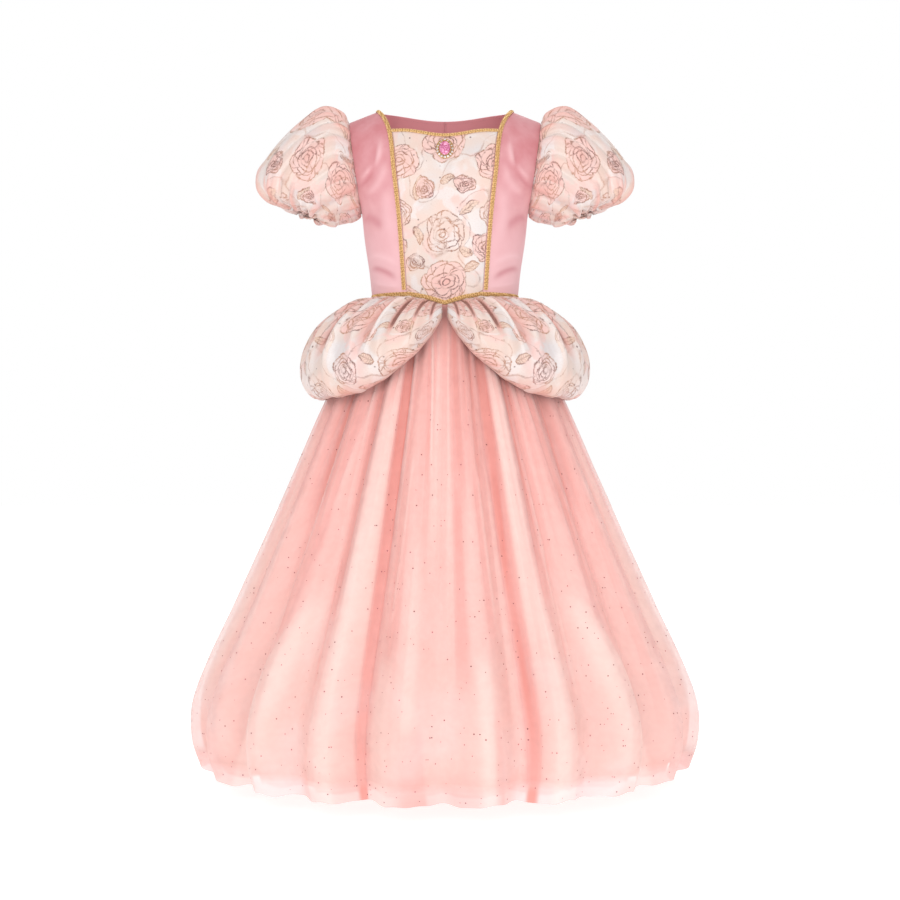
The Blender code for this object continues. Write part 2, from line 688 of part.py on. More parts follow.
def add_jewel():
    """The drop stone and its scalloped ring of crystals, one lobe for each crystal."""
    columns = CRYSTALS * 2
    half_width, half_height = STONE_HALF_WIDTH + SEAM_GAP, STONE_HALF_HEIGHT + SEAM_GAP
    corners = []
    for j in range(columns):
        turn = 2 * math.pi * j / columns
        lobe = j % 2
        inner = drop_outline(turn, half_width, half_height)
        outer = drop_outline(turn, SETTING_HALF_WIDTH, SETTING_HALF_HEIGHT)
        middle = [(a + b) / 2 for a, b in zip(inner, outer)]
        width = 1.0 if lobe else LOW_LOBE_WIDTH
        peak = SETTING_HEIGHT * (1.0 if lobe else LOW_LOBE_HEIGHT)
        rim = [m + (b - m) * width for m, b in zip(middle, outer)]
        ring = [
            (*inner, 0.0),
            (*rim, 0.0),
            (*rim, peak * LOBE_SHOULDER),
            (*middle, peak),
            (*inner, peak * LOBE_INNER),
        ]
        corners += ring
    section = len(ring)
    faces = []
    for j in range(columns):
        k = (j + 1) % columns
        for i in range(section):
            n = (i + 1) % section
            faces.append((j * section + i, j * section + n, k * section + n, k * section + i))
    add_mesh("jewel_setting", place_jewel(corners), faces, "gilt_setting")
    corners = []
    for row in STONE:
        for j in range(STONE_SIDES):
            turn = 2 * math.pi * (j + (0.5 if row.turned else 0.0)) / STONE_SIDES
            x, y = drop_outline(turn, STONE_HALF_WIDTH * row.scale, STONE_HALF_HEIGHT * row.scale)
            corners.append((x, y, STONE_HEIGHT * row.height))
    last = (len(STONE) - 1) * STONE_SIDES
    faces = [tuple(range(STONE_SIDES)), tuple(range(last, last + STONE_SIDES))]
    for i in range(len(STONE) - 1):
        for j in range(STONE_SIDES):
            k = (j + 1) % STONE_SIDES
            low, high = i * STONE_SIDES, (i + 1) * STONE_SIDES
            faces.append((low + j, low + k, high + k, high + j))
    add_mesh("jewel_stone", place_jewel(corners), faces, "pink_glass")


clear_scene()
add_bodice()
add_sleeves()
add_skirt()
add_swags()
add_jewel()
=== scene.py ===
"""Looks of a child's princess costume dress, filled out as it is worn.

Each cloth piece is a thin sheet on the form of its solid, with finer folds. Lengths are in
metres, +Z is up, the front faces -Y and the wearer's left is at +X.
"""

import logging
import math
from dataclasses import dataclass
from enum import Enum

import bpy
import numpy as np
from mathutils import Matrix, Vector


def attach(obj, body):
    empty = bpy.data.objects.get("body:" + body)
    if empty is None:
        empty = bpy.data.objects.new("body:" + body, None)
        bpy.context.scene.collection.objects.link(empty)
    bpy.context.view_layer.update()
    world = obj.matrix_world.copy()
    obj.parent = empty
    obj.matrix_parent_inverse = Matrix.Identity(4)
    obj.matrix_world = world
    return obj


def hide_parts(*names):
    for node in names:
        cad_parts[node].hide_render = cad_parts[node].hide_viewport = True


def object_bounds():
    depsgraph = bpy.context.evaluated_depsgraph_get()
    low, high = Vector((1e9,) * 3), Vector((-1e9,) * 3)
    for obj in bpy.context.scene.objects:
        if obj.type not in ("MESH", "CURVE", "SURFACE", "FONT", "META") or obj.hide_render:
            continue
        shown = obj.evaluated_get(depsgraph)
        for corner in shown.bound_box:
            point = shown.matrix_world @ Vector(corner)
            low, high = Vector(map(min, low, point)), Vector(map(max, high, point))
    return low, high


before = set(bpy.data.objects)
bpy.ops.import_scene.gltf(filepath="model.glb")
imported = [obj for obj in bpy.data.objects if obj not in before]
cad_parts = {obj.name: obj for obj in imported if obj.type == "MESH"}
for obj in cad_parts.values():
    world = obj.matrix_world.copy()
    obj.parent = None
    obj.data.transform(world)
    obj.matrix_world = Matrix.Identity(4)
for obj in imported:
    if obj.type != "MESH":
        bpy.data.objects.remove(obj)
CAD_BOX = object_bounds()

Array = np.ndarray
Node = bpy.types.Node
Piece = bpy.types.Object
Socket = bpy.types.NodeSocket
Tree = bpy.types.NodeTree

LOG = logging.getLogger("dress")
SEED = 41
SIDES = ((1, "left"), (-1, "right"))
SATIN_NODES = tuple(f"satin_skirt_{side}" for side in ("front", "left", "back", "right"))


class Slot(Enum):
    """The record's material slots."""

    VELOUR = "velour"
    BROCADE = "brocade"
    SATIN = "satin"
    TULLE = "tulle"
    BRAID = "braid"
    SETTING = "setting"
    STONE = "stone"


def linear(colour: str) -> tuple[float, float, float, float]:
    """Turns an sRGB hex colour into the linear values that a shader takes.

    Args:
        colour: Six hex digits.

    Returns:
        Red, green, blue and an alpha of one.
    """
    channels = [int(colour[i:i + 2], 16) / 255 for i in (0, 2, 4)]
    made = [c / 12.92 if c <= 0.04045 else ((c + 0.055) / 1.055) ** 2.4 for c in channels]
    return (made[0], made[1], made[2], 1.0)


def feed(tree: Tree, socket: Socket, value: object) -> None:
    """Links or sets one input of a node.

    Args:
        tree: The node tree.
        socket: The input.
        value: A node or socket to link, or a value, where hex digits are a colour.
    """
    if isinstance(value, Node):
        value = value.outputs[0]
    if isinstance(value, Socket):
        tree.links.new(value, socket)
    else:
        socket.default_value = linear(value) if isinstance(value, str) else value


def put(tree: Tree, kind: str, *inputs: object, **settings: object) -> Node:
    """Adds a shader node, sets it and links its inputs.

    Args:
        tree: The node tree that gets the node.
        kind: The node's type without its ShaderNode prefix.
        inputs: A node, socket or value for each input in order. A pair of a name and one of
            these sets the input of that name.
        settings: Values for the node's own properties.

    Returns:
        The new node.
    """
    node = tree.nodes.new("ShaderNode" + kind)
    for name, value in settings.items():
        setattr(node, name, value)
    for place, given in enumerate(inputs):
        named = isinstance(given, tuple) and isinstance(given[0], str)
        feed(tree, node.inputs[given[0] if named else place], given[1] if named else given)
    return node


def surface(tree: Tree, shader: Node, **inputs: object) -> None:
    """Sets or links the shader's inputs, named in small letters with _ for a space."""
    for name, value in inputs.items():
        feed(tree, shader.inputs[name.replace("_", " ").title()], value)


@dataclass(frozen=True)
class Finish:
    """A real material, built once as a shader and shared by the pieces that have it."""

    name: str
    slot: Slot

    def material(self) -> bpy.types.Material:
        """Builds the material, or finds the one that is there."""
        found = bpy.data.materials.get(self.name)
        if found is None:
            found = bpy.data.materials.new(self.name)
            found.use_nodes = True
            self.make(found.node_tree, found.node_tree.nodes["Principled BSDF"])
        return found

    def make(self, tree: Tree, shader: Node) -> None:
        """Wires the finish into a new material."""
        raise NotImplementedError


@dataclass(frozen=True)
class Velour(Finish):
    """Stretch velour: knitted, with a short pile that lies one way and glows pale where it turns
    away.
    """

    # The plain colour; a pale one for the pile's random mottling that is also painted light and a
    # painted highlight on crease ridges; painted shade for crease troughs; a lighter painted light
    # for the inside faces.
    face: str = "C97C82"
    pale_nap_and_highlight: str = "EDC0C4"
    shaded: str = "BE6C76"
    painted_inside_light: str = "E89CA2"
    pile_mm: float = 1.1
    mottle_mm: float = 26.0

    def make(self, tree: Tree, shader: Node) -> None:
        """Wires the nap and its mottling, with painted light and shade on the cloth and its creases.
        """
        place = put(tree, "TexCoord").outputs["Object"]
        mottle = put(tree, "TexNoise", place, ("Scale", 1000 / self.mottle_mm), ("Detail", 3.0))
        nap = put(tree, "TexNoise", place, ("Scale", 1000 / self.pile_mm), ("Detail", 1.0))
        fold = put(tree, "Attribute", attribute_name="fold").outputs["Fac"]
        soft = put(tree, "MapRange", mottle, 0.35, 0.7, 0.0, 0.28)
        mottle_and_painted_light = put(tree, "MixRGB", soft, self.face, self.pale_nap_and_highlight)
        # Painted light: darker at the shoulders, which slope away from the light, and paler lower
        # down towards the waist.
        height = put(tree, "SeparateXYZ", place).outputs["Z"]
        painted_light_low = put(tree, "MapRange", height, -0.05, -0.25, 0.0, 0.88)
        mottle_and_painted_light = put(tree, "MixRGB", painted_light_low, mottle_and_painted_light, self.pale_nap_and_highlight)
        # Painted highlight on the crease ridges and painted shade in the crease troughs, from the
        # fold value.
        crest = put(tree, "MapRange", fold, 0.0, -1.0, 0.0, 0.85)
        lit = put(tree, "MixRGB", crest, mottle_and_painted_light, self.pale_nap_and_highlight)
        trough = put(tree, "MapRange", fold, 0.0, 1.0, 0.0, 0.75)
        shaded = put(tree, "MixRGB", trough, lit, self.shaded)
        # Painted light: faces that look inwards, the inside of the back, are made lighter.
        outwards = put(tree, "VectorMath", put(tree, "TexCoord").outputs["Normal"],
                       put(tree, "VectorMath", place, (1.0, 1.0, 0.0), operation="MULTIPLY"),
                       operation="DOT_PRODUCT").outputs["Value"]
        inner = put(tree, "MapRange", outwards, 0.0, -0.02, 0.0, 1.0)
        shaded = put(tree, "MixRGB", inner, shaded, self.painted_inside_light)
        bump = put(tree, "Bump", ("Height", nap), ("Strength", 0.18), ("Distance", 0.0006))
        surface(tree, shader, base_color=shaded, normal=bump, roughness=0.62, sheen_weight=0.22,
                sheen_roughness=0.38, sheen_tint="FFDDE4")


@dataclass(frozen=True)
class Motif:
    """One motif of the repeat: its middle and size in millimetres, its turn and its blush."""

    u: float
    v: float
    size: float
    turn_deg: float
    blush: float


@dataclass(frozen=True)
class Petals:
    """One ring of petals, as shares of the rose's size."""

    edge: float
    scallop: float
    count: int
    turn: float
    tone: float
    shift_u: float
    shift_v: float


ROSES = (
    Motif(30, 38, 30, 20, 1.0),
    Motif(30, 162, 27, 200, 0.0),
    Motif(57, 97, 12, 75, 0.7),
    Motif(3, 101, 12, 285, 0.7),
    Motif(98, 66, 27, 140, 0.9),
    Motif(97, 136, 18, 300, 0.2),
    Motif(88, 182, 21, 60, 1.0),
    Motif(122, 12, 11, 10, 0.0),
)
LEAVES = (
    Motif(62, 130, 15, 34, 0.0),
    Motif(66, 18, 14, 196, 0.0),
    Motif(124, 102, 15, 80, 0.0),
    Motif(58, 188, 13, 150, 0.0),
    Motif(122, 166, 14, 110, 0.0),
    Motif(34, 92, 12, 10, 0.0),
)
PETALS = (
    Petals(0.84, 0.16, 5, 0.0, 0.24, 0.0, 0.0),
    Petals(0.62, 0.14, 4, 0.9, 0.42, 0.05, -0.04),
    Petals(0.42, 0.11, 3, 0.2, 0.6, -0.03, 0.05),
    Petals(0.25, 0.08, 3, 1.3, 0.8, 0.04, 0.02),
    Petals(0.11, 0.05, 2, 0.6, 1.0, -0.01, 0.03),
)


@dataclass(frozen=True)
class RoseBrocade(Finish):
    """Jacquard brocade: satin ground, roses and leaves floated in blush and drawn in rose gold."""

    ground: str = "DDCAC1"
    cloud: str = "D5CFD0"
    warm: str = "E6C5B8"
    silver: str = "E2DBDA"
    beige: str = "DFC5B9"
    blush: str = "EBC0B9"
    heart: str = "D98F84"
    leaf: str = "E2C3AE"
    line: str = "AB7454"
    dark_line: str = "6A352B"
    speck: str = "5E3A34"
    # Below: a painted highlight colour for fold crests, a real slub colour, and painted shade colours
    # for fold bottoms and the deepest creases.
    crest: str = "FBF1EC"
    slub: str = "C9A494"
    hollow: str = "DFA398"
    crease: str = "7E483C"
    tile_u_mm: float = 130.0
    tile_v_mm: float = 190.0
    line_mm: float = 1.5
    drift_mm: float = 4.6
    jag_mm: float = 0.6
    swirl: float = 0.9
    thread_mm: float = 1.2

    def nearest(self, tree: Tree, place: Node, motifs: tuple[Motif, ...]) -> tuple[Node, Node]:
        """Finds the motif that a point of the cloth belongs to.

        Args:
            tree: The node tree of the material.
            place: The point on the cloth in metres.
            motifs: The motifs of one repeat.

        Returns:
            The point as seen from that motif, in its own size with its blush as Z, and the
            size itself in metres as a colour.
        """
        half = (self.tile_u_mm / 2000, self.tile_v_mm / 2000, 1.0)
        low = tuple(-h for h in half)
        seen = best = size = None
        for motif in motifs:
            centre = (motif.u / 1000, motif.v / 1000, 0.0)
            away = put(tree, "VectorMath", place, centre, operation="SUBTRACT")
            wrapped = put(tree, "VectorMath", away, half, low, operation="WRAP")
            turned = put(tree, "VectorRotate", wrapped, ("Angle", math.radians(motif.turn_deg)),
                         rotation_type="Z_AXIS")
            shrunk = put(tree, "VectorMath", turned, ("Scale", 1000 / motif.size),
                         operation="SCALE")
            far = put(tree, "VectorMath", shrunk, operation="LENGTH").outputs["Value"]
            marked = put(tree, "VectorMath", shrunk, (0.0, 0.0, motif.blush), operation="ADD")
            wide = (motif.size / 1000,) * 3 + (1.0,)
            if seen is None:
                seen, best, size = marked, far, put(tree, "MixRGB", 1.0, wide, wide)
                continue
            closer = put(tree, "Math", far, best, operation="LESS_THAN")
            seen = put(tree, "MixRGB", closer, seen, marked)
            size = put(tree, "MixRGB", closer, size, wide)
            best = put(tree, "Math", far, best, operation="MINIMUM")
        return seen, size

    def rose(self, tree: Tree, seen: Node, size: Node) -> tuple[Node, Node, Node]:
        """Draws a rose of nested scalloped rings of petals.

        Args:
            tree: The node tree of the material.
            seen: The point as seen from the rose.
            size: The rose's size in metres.

        Returns:
            Where the outlines run, how deep the blush is, and how far it covers the ground.
        """
        parts = put(tree, "SeparateXYZ", seen)
        flat = put(tree, "CombineXYZ", parts.outputs[0], parts.outputs[1], 0.0)
        width = put(tree, "Math", self.line_mm / 1000, size, operation="DIVIDE")
        line = tone = body = outer = None
        for ring in PETALS:
            off = put(tree, "VectorMath", flat, (ring.shift_u, ring.shift_v, 0.0),
                      operation="SUBTRACT")
            ends = put(tree, "SeparateXYZ", off)
            radius = put(tree, "VectorMath", off, operation="LENGTH").outputs["Value"]
            turn = put(tree, "Math", ends.outputs[1], ends.outputs[0], operation="ARCTAN2")
            turn = put(tree, "Math", radius, -self.swirl, turn, operation="MULTIPLY_ADD")
            swing = put(tree, "Math", turn, ring.count / 2, ring.turn, operation="MULTIPLY_ADD")
            wave = put(tree, "Math", put(tree, "Math", swing, operation="COSINE"),
                       operation="ABSOLUTE")
            scallop = put(tree, "Math", wave, 0.55, operation="POWER")
            edge = put(tree, "Math", scallop, ring.scallop, ring.edge, operation="MULTIPLY_ADD")
            past = put(tree, "Math", radius, edge, operation="SUBTRACT")
            away = put(tree, "Math", past, operation="ABSOLUTE")
            drawn = put(tree, "MapRange", away, 0.0, width, 1.0, 0.0,
                        interpolation_type="SMOOTHSTEP")
            inside = put(tree, "MapRange", past, 0.0, -0.03, 0.0, 1.0)
            shade = put(tree, "MapRange", past, 0.0, -0.2, 0.0, ring.tone)
            if line is None:
                line, tone, body, outer = drawn, shade, inside, wave
                continue
            split = put(tree, "MapRange", outer, 0.0, 0.12, 0.9, 0.0,
                        interpolation_type="SMOOTHSTEP")
            clear = put(tree, "Math", 1.0, inside, operation="SUBTRACT")
            ringed = put(tree, "Math", split, clear, operation="MULTIPLY")
            covered = put(tree, "MapRange", tone, 0.0, 0.02, 0.0, 1.0)
            within = put(tree, "Math", ringed, covered, operation="MULTIPLY")
            line = put(tree, "Math", line, drawn, operation="MAXIMUM")
            line = put(tree, "Math", line, within, operation="MAXIMUM")
            tone = put(tree, "Math", put(tree, "Math", tone, 0.72, operation="MULTIPLY"), shade,
                       operation="MAXIMUM")
            outer = wave
        blush = put(tree, "Math", tone, parts.outputs[2], operation="MULTIPLY")
        filled = put(tree, "MapRange", parts.outputs[2], 0.0, 0.6, 0.12, 0.9)
        body = put(tree, "Math", body, filled, operation="MULTIPLY")
        return line, blush, body

    def leaves(self, tree: Tree, seen: Node, size: Node) -> tuple[Node, Node]:
        """Draws a pointed leaf with a midrib and slanting veins.

        Args:
            tree: The node tree of the material.
            seen: The point as seen from the leaf.
            size: The leaf's half length in metres.

        Returns:
            Where the lines run, and where the leaf lies.
        """
        parts = put(tree, "SeparateXYZ", seen)
        along, across = parts.outputs[0], put(tree, "Math", parts.outputs[1], operation="ABSOLUTE")
        width = put(tree, "Math", self.line_mm / 1000, size, operation="DIVIDE")
        square = put(tree, "Math", along, along, operation="MULTIPLY")
        edge = put(tree, "Math", put(tree, "Math", 1.0, square, operation="SUBTRACT"), 0.4,
                   operation="MULTIPLY")
        past = put(tree, "Math", across, edge, operation="SUBTRACT")
        inside = put(tree, "MapRange", past, 0.0, -0.03, 0.0, 1.0)
        rim = put(tree, "MapRange", put(tree, "Math", past, operation="ABSOLUTE"), 0.0, width, 1.0,
                  0.0, interpolation_type="SMOOTHSTEP")
        rib = put(tree, "MapRange", across, 0.0, width, 0.8, 0.0)
        slant = put(tree, "Math", across, -1.1, along, operation="MULTIPLY_ADD")
        vein = put(tree, "Math", slant, 0.16, operation="PINGPONG")
        veins = put(tree, "MapRange", vein, 0.0, width, 0.6, 0.0)
        inner = put(tree, "Math", put(tree, "Math", rib, veins, operation="MAXIMUM"), inside,
                    operation="MULTIPLY")
        near = put(tree, "Math", put(tree, "Math", along, operation="ABSOLUTE"), 1.02,
                   operation="LESS_THAN")
        rimmed = put(tree, "Math", rim, near, operation="MULTIPLY")
        return put(tree, "Math", rimmed, inner, operation="MAXIMUM"), inside

    def make(self, tree: Tree, shader: Node) -> None:
        """Wires the repeat of roses, leaves and stems over the clouded satin ground, with painted
        fold light and shade.
        """
        cut = put(tree, "UVMap", uv_map="cut")
        drift = put(tree, "TexNoise", cut, ("Scale", 34.0), ("Detail", 1.5))
        centred = put(tree, "VectorMath", drift.outputs["Color"], (0.5, 0.5, 0.5),
                      operation="SUBTRACT")
        shift = put(tree, "VectorMath", centred, ("Scale", self.drift_mm / 250), operation="SCALE")
        drawn = put(tree, "VectorMath", cut, shift, operation="ADD")
        picks = put(tree, "TexNoise", cut, ("Scale", 420.0), ("Detail", 1.0))
        centred = put(tree, "VectorMath", picks.outputs["Color"], (0.5, 0.5, 0.5),
                      operation="SUBTRACT")
        jag = put(tree, "VectorMath", centred, ("Scale", self.jag_mm / 250), operation="SCALE")
        drawn = put(tree, "VectorMath", drawn, jag, operation="ADD")
        flat = put(tree, "VectorMath", drawn, (1.0, 1.0, 0.0), operation="MULTIPLY")
        rose_line, blush, rose_body = self.rose(tree, *self.nearest(tree, flat, ROSES))
        leaf_line, leaf_body = self.leaves(tree, *self.nearest(tree, flat, LEAVES))
        clear = put(tree, "Math", 1.0, rose_body, operation="SUBTRACT")
        leaf_line = put(tree, "Math", leaf_line, clear, operation="MULTIPLY")
        leaf_body = put(tree, "Math", leaf_body, clear, operation="MULTIPLY")
        contour = put(tree, "TexNoise", flat, ("Scale", 17.0), ("Detail", 0.0))
        level = put(tree, "Math", contour, 0.5, operation="SUBTRACT")
        stem = put(tree, "MapRange", put(tree, "Math", level, operation="ABSOLUTE"), 0.0, 0.013,
                   0.6, 0.0)
        stem = put(tree, "Math", stem, clear, operation="MULTIPLY")
        lines = put(tree, "Math", rose_line, leaf_line, operation="MAXIMUM")
        lines = put(tree, "Math", lines, stem, operation="MAXIMUM")
        worn = put(tree, "TexNoise", cut, ("Scale", 90.0), ("Detail", 2.0))
        broken = put(tree, "MapRange", worn, 0.36, 0.5, 0.22, 1.0)
        lines = put(tree, "Math", lines, broken, operation="MULTIPLY")
        flecks = put(tree, "TexNoise", cut, ("Scale", 620.0), ("Detail", 1.0))
        floats = put(tree, "MapRange", flecks, 0.38, 0.52, 0.5, 1.0)
        lines = put(tree, "Math", lines, floats, operation="MULTIPLY")
        clouds = put(tree, "TexNoise", cut, ("Scale", 15.0), ("Detail", 2.0))
        cool = put(tree, "MapRange", clouds, 0.5, 0.66, 0.0, 0.9)
        warm = put(tree, "MapRange", clouds, 0.48, 0.34, 0.0, 0.9)
        ground = put(tree, "MixRGB", cool, self.ground, self.cloud)
        ground = put(tree, "MixRGB", warm, ground, self.warm)
        patch = put(tree, "TexNoise", flat, ("Scale", 26.0), ("Detail", 2.0), ("Distortion", 0.8))
        chance = put(tree, "SeparateXYZ", patch.outputs["Color"])
        for channel, tint in enumerate((self.blush, self.silver, self.beige)):
            picked = put(tree, "MapRange", chance.outputs[channel], 0.53, 0.6, 0.0, 0.62)
            ground = put(tree, "MixRGB", picked, ground, tint)
        ground = put(tree, "MixRGB", put(tree, "Math", leaf_body, 0.7, operation="MULTIPLY"),
                     ground, self.leaf)
        petals = put(tree, "MixRGB", blush, self.blush, self.heart)
        cover = put(tree, "Math", rose_body, 0.72, operation="MULTIPLY")
        cloth = put(tree, "MixRGB", cover, ground, petals)
        plies = put(tree, "TexNoise", cut, ("Scale", 24.0), ("Detail", 1.0))
        darker = put(tree, "MapRange", plies, 0.46, 0.58, 0.05, 1.0)
        yarn = put(tree, "MixRGB", darker, self.line, self.dark_line)
        cloth = put(tree, "MixRGB", lines, cloth, yarn)
        dots = put(tree, "TexVoronoi", cut, ("Scale", 170.0), ("Randomness", 1.0))
        chance = put(tree, "MapRange", blush, 0.45, 0.9, 0.95, 0.55)
        rare = put(tree, "Math", put(tree, "SeparateXYZ", dots.outputs["Color"]).outputs[0],
                   chance, operation="GREATER_THAN")
        dot = put(tree, "MapRange", dots.outputs["Distance"], 0.14, 0.3, 0.85, 0.0)
        specks = put(tree, "Math", dot, rare, operation="MULTIPLY")
        cloth = put(tree, "MixRGB", specks, cloth, self.speck)
        # Painted highlight on fold crests.
        fold = put(tree, "Attribute", attribute_name="fold").outputs["Fac"]
        high = put(tree, "MapRange", fold, -0.2, -1.0, 0.0, 0.55)
        cloth = put(tree, "MixRGB", high, cloth, self.crest)
        grain = put(tree, "TexNoise", put(tree, "Mapping", cut, ("Scale", (500.0, 1500.0, 1.0))),
                    ("Scale", 1.0), ("Detail", 2.0))
        slubs = put(tree, "MapRange", grain, 0.56, 0.74, 0.0, 0.5)
        cloth = put(tree, "MixRGB", slubs, cloth, self.slub)
        # Painted shade in fold bottoms, darkest in the deepest creases.
        deep = put(tree, "MapRange", fold, 0.1, 0.95, 0.0, 0.7)
        cloth = put(tree, "MixRGB", deep, cloth, self.hollow)
        deepest = put(tree, "MapRange", fold, 0.95, 1.45, 0.0, 0.85)
        cloth = put(tree, "MixRGB", deepest, cloth, self.crease)
        threads = put(tree, "TexWave", cut, ("Scale", 1000 / self.thread_mm / 6.283),
                      ("Distortion", 0.6), bands_direction="DIAGONAL")
        relief = put(tree, "Math", cover, threads, operation="MULTIPLY")
        relief = put(tree, "Math", lines, relief, operation="ADD")
        bump = put(tree, "Bump", ("Height", relief), ("Strength", 0.25), ("Distance", 0.0004))
        rough = put(tree, "MapRange", cover, 0.0, 0.8, 0.36, 0.52)
        surface(tree, shader, base_color=cloth, roughness=rough, normal=bump, sheen_weight=0.2,
                sheen_tint="FFF4EE")


@dataclass(frozen=True)
class PeachSatin(Finish):
    """Polyester satin: long warp floats that shine along the folds, with painted crest highlights and
    painted coral shade in them.
    """

    # A painted highlight colour, the plain colour and a painted shade colour.
    crest: str = "FDDCD1"
    face: str = "FAC0B5"
    trough: str = "E79A90"

    def make(self, tree: Tree, shader: Node) -> None:
        """Wires the painted highlight on crests and painted shade in troughs, and the fine slubs down
        the cloth.
        """
        cut = put(tree, "UVMap", uv_map="cut")
        fold = put(tree, "Attribute", attribute_name="fold").outputs["Fac"]
        # Painted highlight on crests and painted coral shade in troughs, from the fold value.
        deep = put(tree, "MapRange", fold, 0.0, 1.0, 0.0, 1.0, interpolation_type="SMOOTHSTEP")
        high = put(tree, "MapRange", fold, 0.0, -1.0, 0.0, 1.0)
        cloth = put(tree, "MixRGB", high, self.face, self.crest)
        cloth = put(tree, "MixRGB", deep, cloth, self.trough)
        drawn = put(tree, "Mapping", cut, ("Scale", (260.0, 9.0, 1.0)))
        slub = put(tree, "TexNoise", drawn, ("Scale", 1.0), ("Detail", 2.0))
        bump = put(tree, "Bump", ("Height", slub), ("Strength", 0.12), ("Distance", 0.0005))
        surface(tree, shader, base_color=cloth, normal=bump, roughness=0.38, anisotropic=0.4)


@dataclass(frozen=True)
class PinkTulle(Finish):
    """Fine tulle: an open net, so the satin shows through it and folds lie denser and darker; the
    darkness is partly painted shade, and crests get a painted highlight.
    """

    # A painted highlight colour, the plain colour, a painted shade colour, then two patch tints.
    crest: str = "FDE4DE"
    face: str = "FCC9C4"
    trough: str = "E79C93"
    lilac: str = "F1E3E4"
    mauve: str = "E3BAB6"
    cover: float = 0.50
    gathered: float = 0.34
    edge_cover: float = 0.34

    def make(self, tree: Tree, shader: Node) -> None:
        """Wires the net's cover, denser in the folds, and its colour with painted highlight and shade
        on the folds.
        """
        cut = put(tree, "UVMap", uv_map="cut")
        fold = put(tree, "Attribute", attribute_name="fold").outputs["Fac"]
        cloth = self.face
        low = put(tree, "SeparateXYZ", put(tree, "TexCoord").outputs["Object"]).outputs["Z"]
        near_hem = put(tree, "MapRange", low, -0.62, -0.84, 0.0, 0.62)
        patches = put(tree, "TexNoise", cut, ("Scale", 11.0), ("Detail", 1.0))
        for tint, start, end in ((self.lilac, 0.5, 0.62), (self.mauve, 0.46, 0.36)):
            patch = put(tree, "MapRange", patches, start, end, 0.0, 1.0)
            strength = put(tree, "Math", patch, near_hem, operation="MULTIPLY")
            cloth = put(tree, "MixRGB", strength, cloth, tint)
        # Painted highlight on crests and painted shade in troughs, from the fold value.
        deep = put(tree, "MapRange", fold, 0.0, 1.0, 0.0, 1.0)
        high = put(tree, "MapRange", fold, 0.0, -1.0, 0.0, 1.0)
        cloth = put(tree, "MixRGB", high, cloth, self.crest)
        cloth = put(tree, "MixRGB", deep, cloth, self.trough)
        uneven = put(tree, "TexNoise", cut, ("Scale", 34.0), ("Detail", 2.0))
        spread = put(tree, "MapRange", uneven, 0.3, 0.7, -0.06, 0.06)
        denser = put(tree, "Math", deep, self.gathered, self.cover, operation="MULTIPLY_ADD")
        edge = put(tree, "MapRange", low, -0.88, -0.891, 0.0, self.edge_cover)
        denser = put(tree, "Math", denser, edge, operation="ADD")
        alpha = put(tree, "Math", denser, spread, operation="ADD")
        surface(tree, shader, base_color=cloth, alpha=alpha, roughness=0.7, sheen_weight=0.1,
                sheen_tint="FFDCD6")


@dataclass(frozen=True)
class GoldGimp(Finish):
    """Gimp braid: metallised yarn wound round a core, its short turns painted with highlight on top
    and shade between.
    """

    # A painted highlight colour and a painted shade colour for the yarn's turns.
    face: str = "FAD798"
    shade: str = "C08E54"
    turn_mm: float = 1.3

    def make(self, tree: Tree, shader: Node) -> None:
        """Wires the slanting turns of the yarn as painted highlight and shade, with their bump."""
        cut = put(tree, "UVMap", uv_map="cut")
        turns = put(tree, "TexWave", cut, ("Scale", 1000 / self.turn_mm / 6.283),
                    ("Distortion", 0.3), bands_direction="DIAGONAL")
        # Painted highlight on each turn and painted shade between turns.
        tone = put(tree, "MapRange", turns, 0.05, 0.75, 0.0, 1.0)
        yarn = put(tree, "MixRGB", tone, self.shade, self.face)
        bump = put(tree, "Bump", ("Height", turns), ("Strength", 0.5), ("Distance", 0.0003))
        surface(tree, shader, base_color=yarn, normal=bump, metallic=0.2, roughness=0.4)


@dataclass(frozen=True)
class FoiledGlass(Finish):
    """Pressed glass with foil behind it: each facet gets a painted reflection, a tone and glint
    picked at random.
    """

    deep: str = "B32A68"
    pale: str = "F7A5CB"
    coat: float = 1.0

    def make(self, tree: Tree, shader: Node) -> None:
        """Wires each facet's painted reflection under a clear polished surface."""
        # Painted reflection: a random glint for each face, with noise across it, sets how pale each
        # facet is.
        flash = put(tree, "Attribute", attribute_name="flash").outputs["Fac"]
        place = put(tree, "TexCoord").outputs["Object"]
        depth = put(tree, "TexNoise", place, ("Scale", 240.0), ("Detail", 1.0))
        tone = put(tree, "Math", depth, 0.5, flash, operation="MULTIPLY_ADD")
        mixed = put(tree, "MapRange", tone, 0.25, 1.15, 0.0, 1.0)
        glass = put(tree, "MixRGB", mixed, self.deep, self.pale)
        surface(tree, shader, base_color=glass, roughness=0.1, metallic=0.25,
                coat_weight=self.coat, coat_roughness=0.03)


@dataclass(frozen=True)
class GiltMetal(Finish):
    """Gilt brass, cast and tumbled: a warm polish with darker metal in its hollows."""

    face: str = "E3B878"
    hollow: str = "8E6233"

    def make(self, tree: Tree, shader: Node) -> None:
        """Wires the polish and the tarnish."""
        place = put(tree, "TexCoord").outputs["Object"]
        grime = put(tree, "TexNoise", place, ("Scale", 700.0), ("Detail", 3.0))
        worn = put(tree, "MapRange", grime, 0.35, 0.65, 0.0, 0.6)
        metal = put(tree, "MixRGB", worn, self.face, self.hollow)
        rough = put(tree, "MapRange", grime, 0.3, 0.7, 0.18, 0.38)
        surface(tree, shader, base_color=metal, roughness=rough, metallic=1.0)


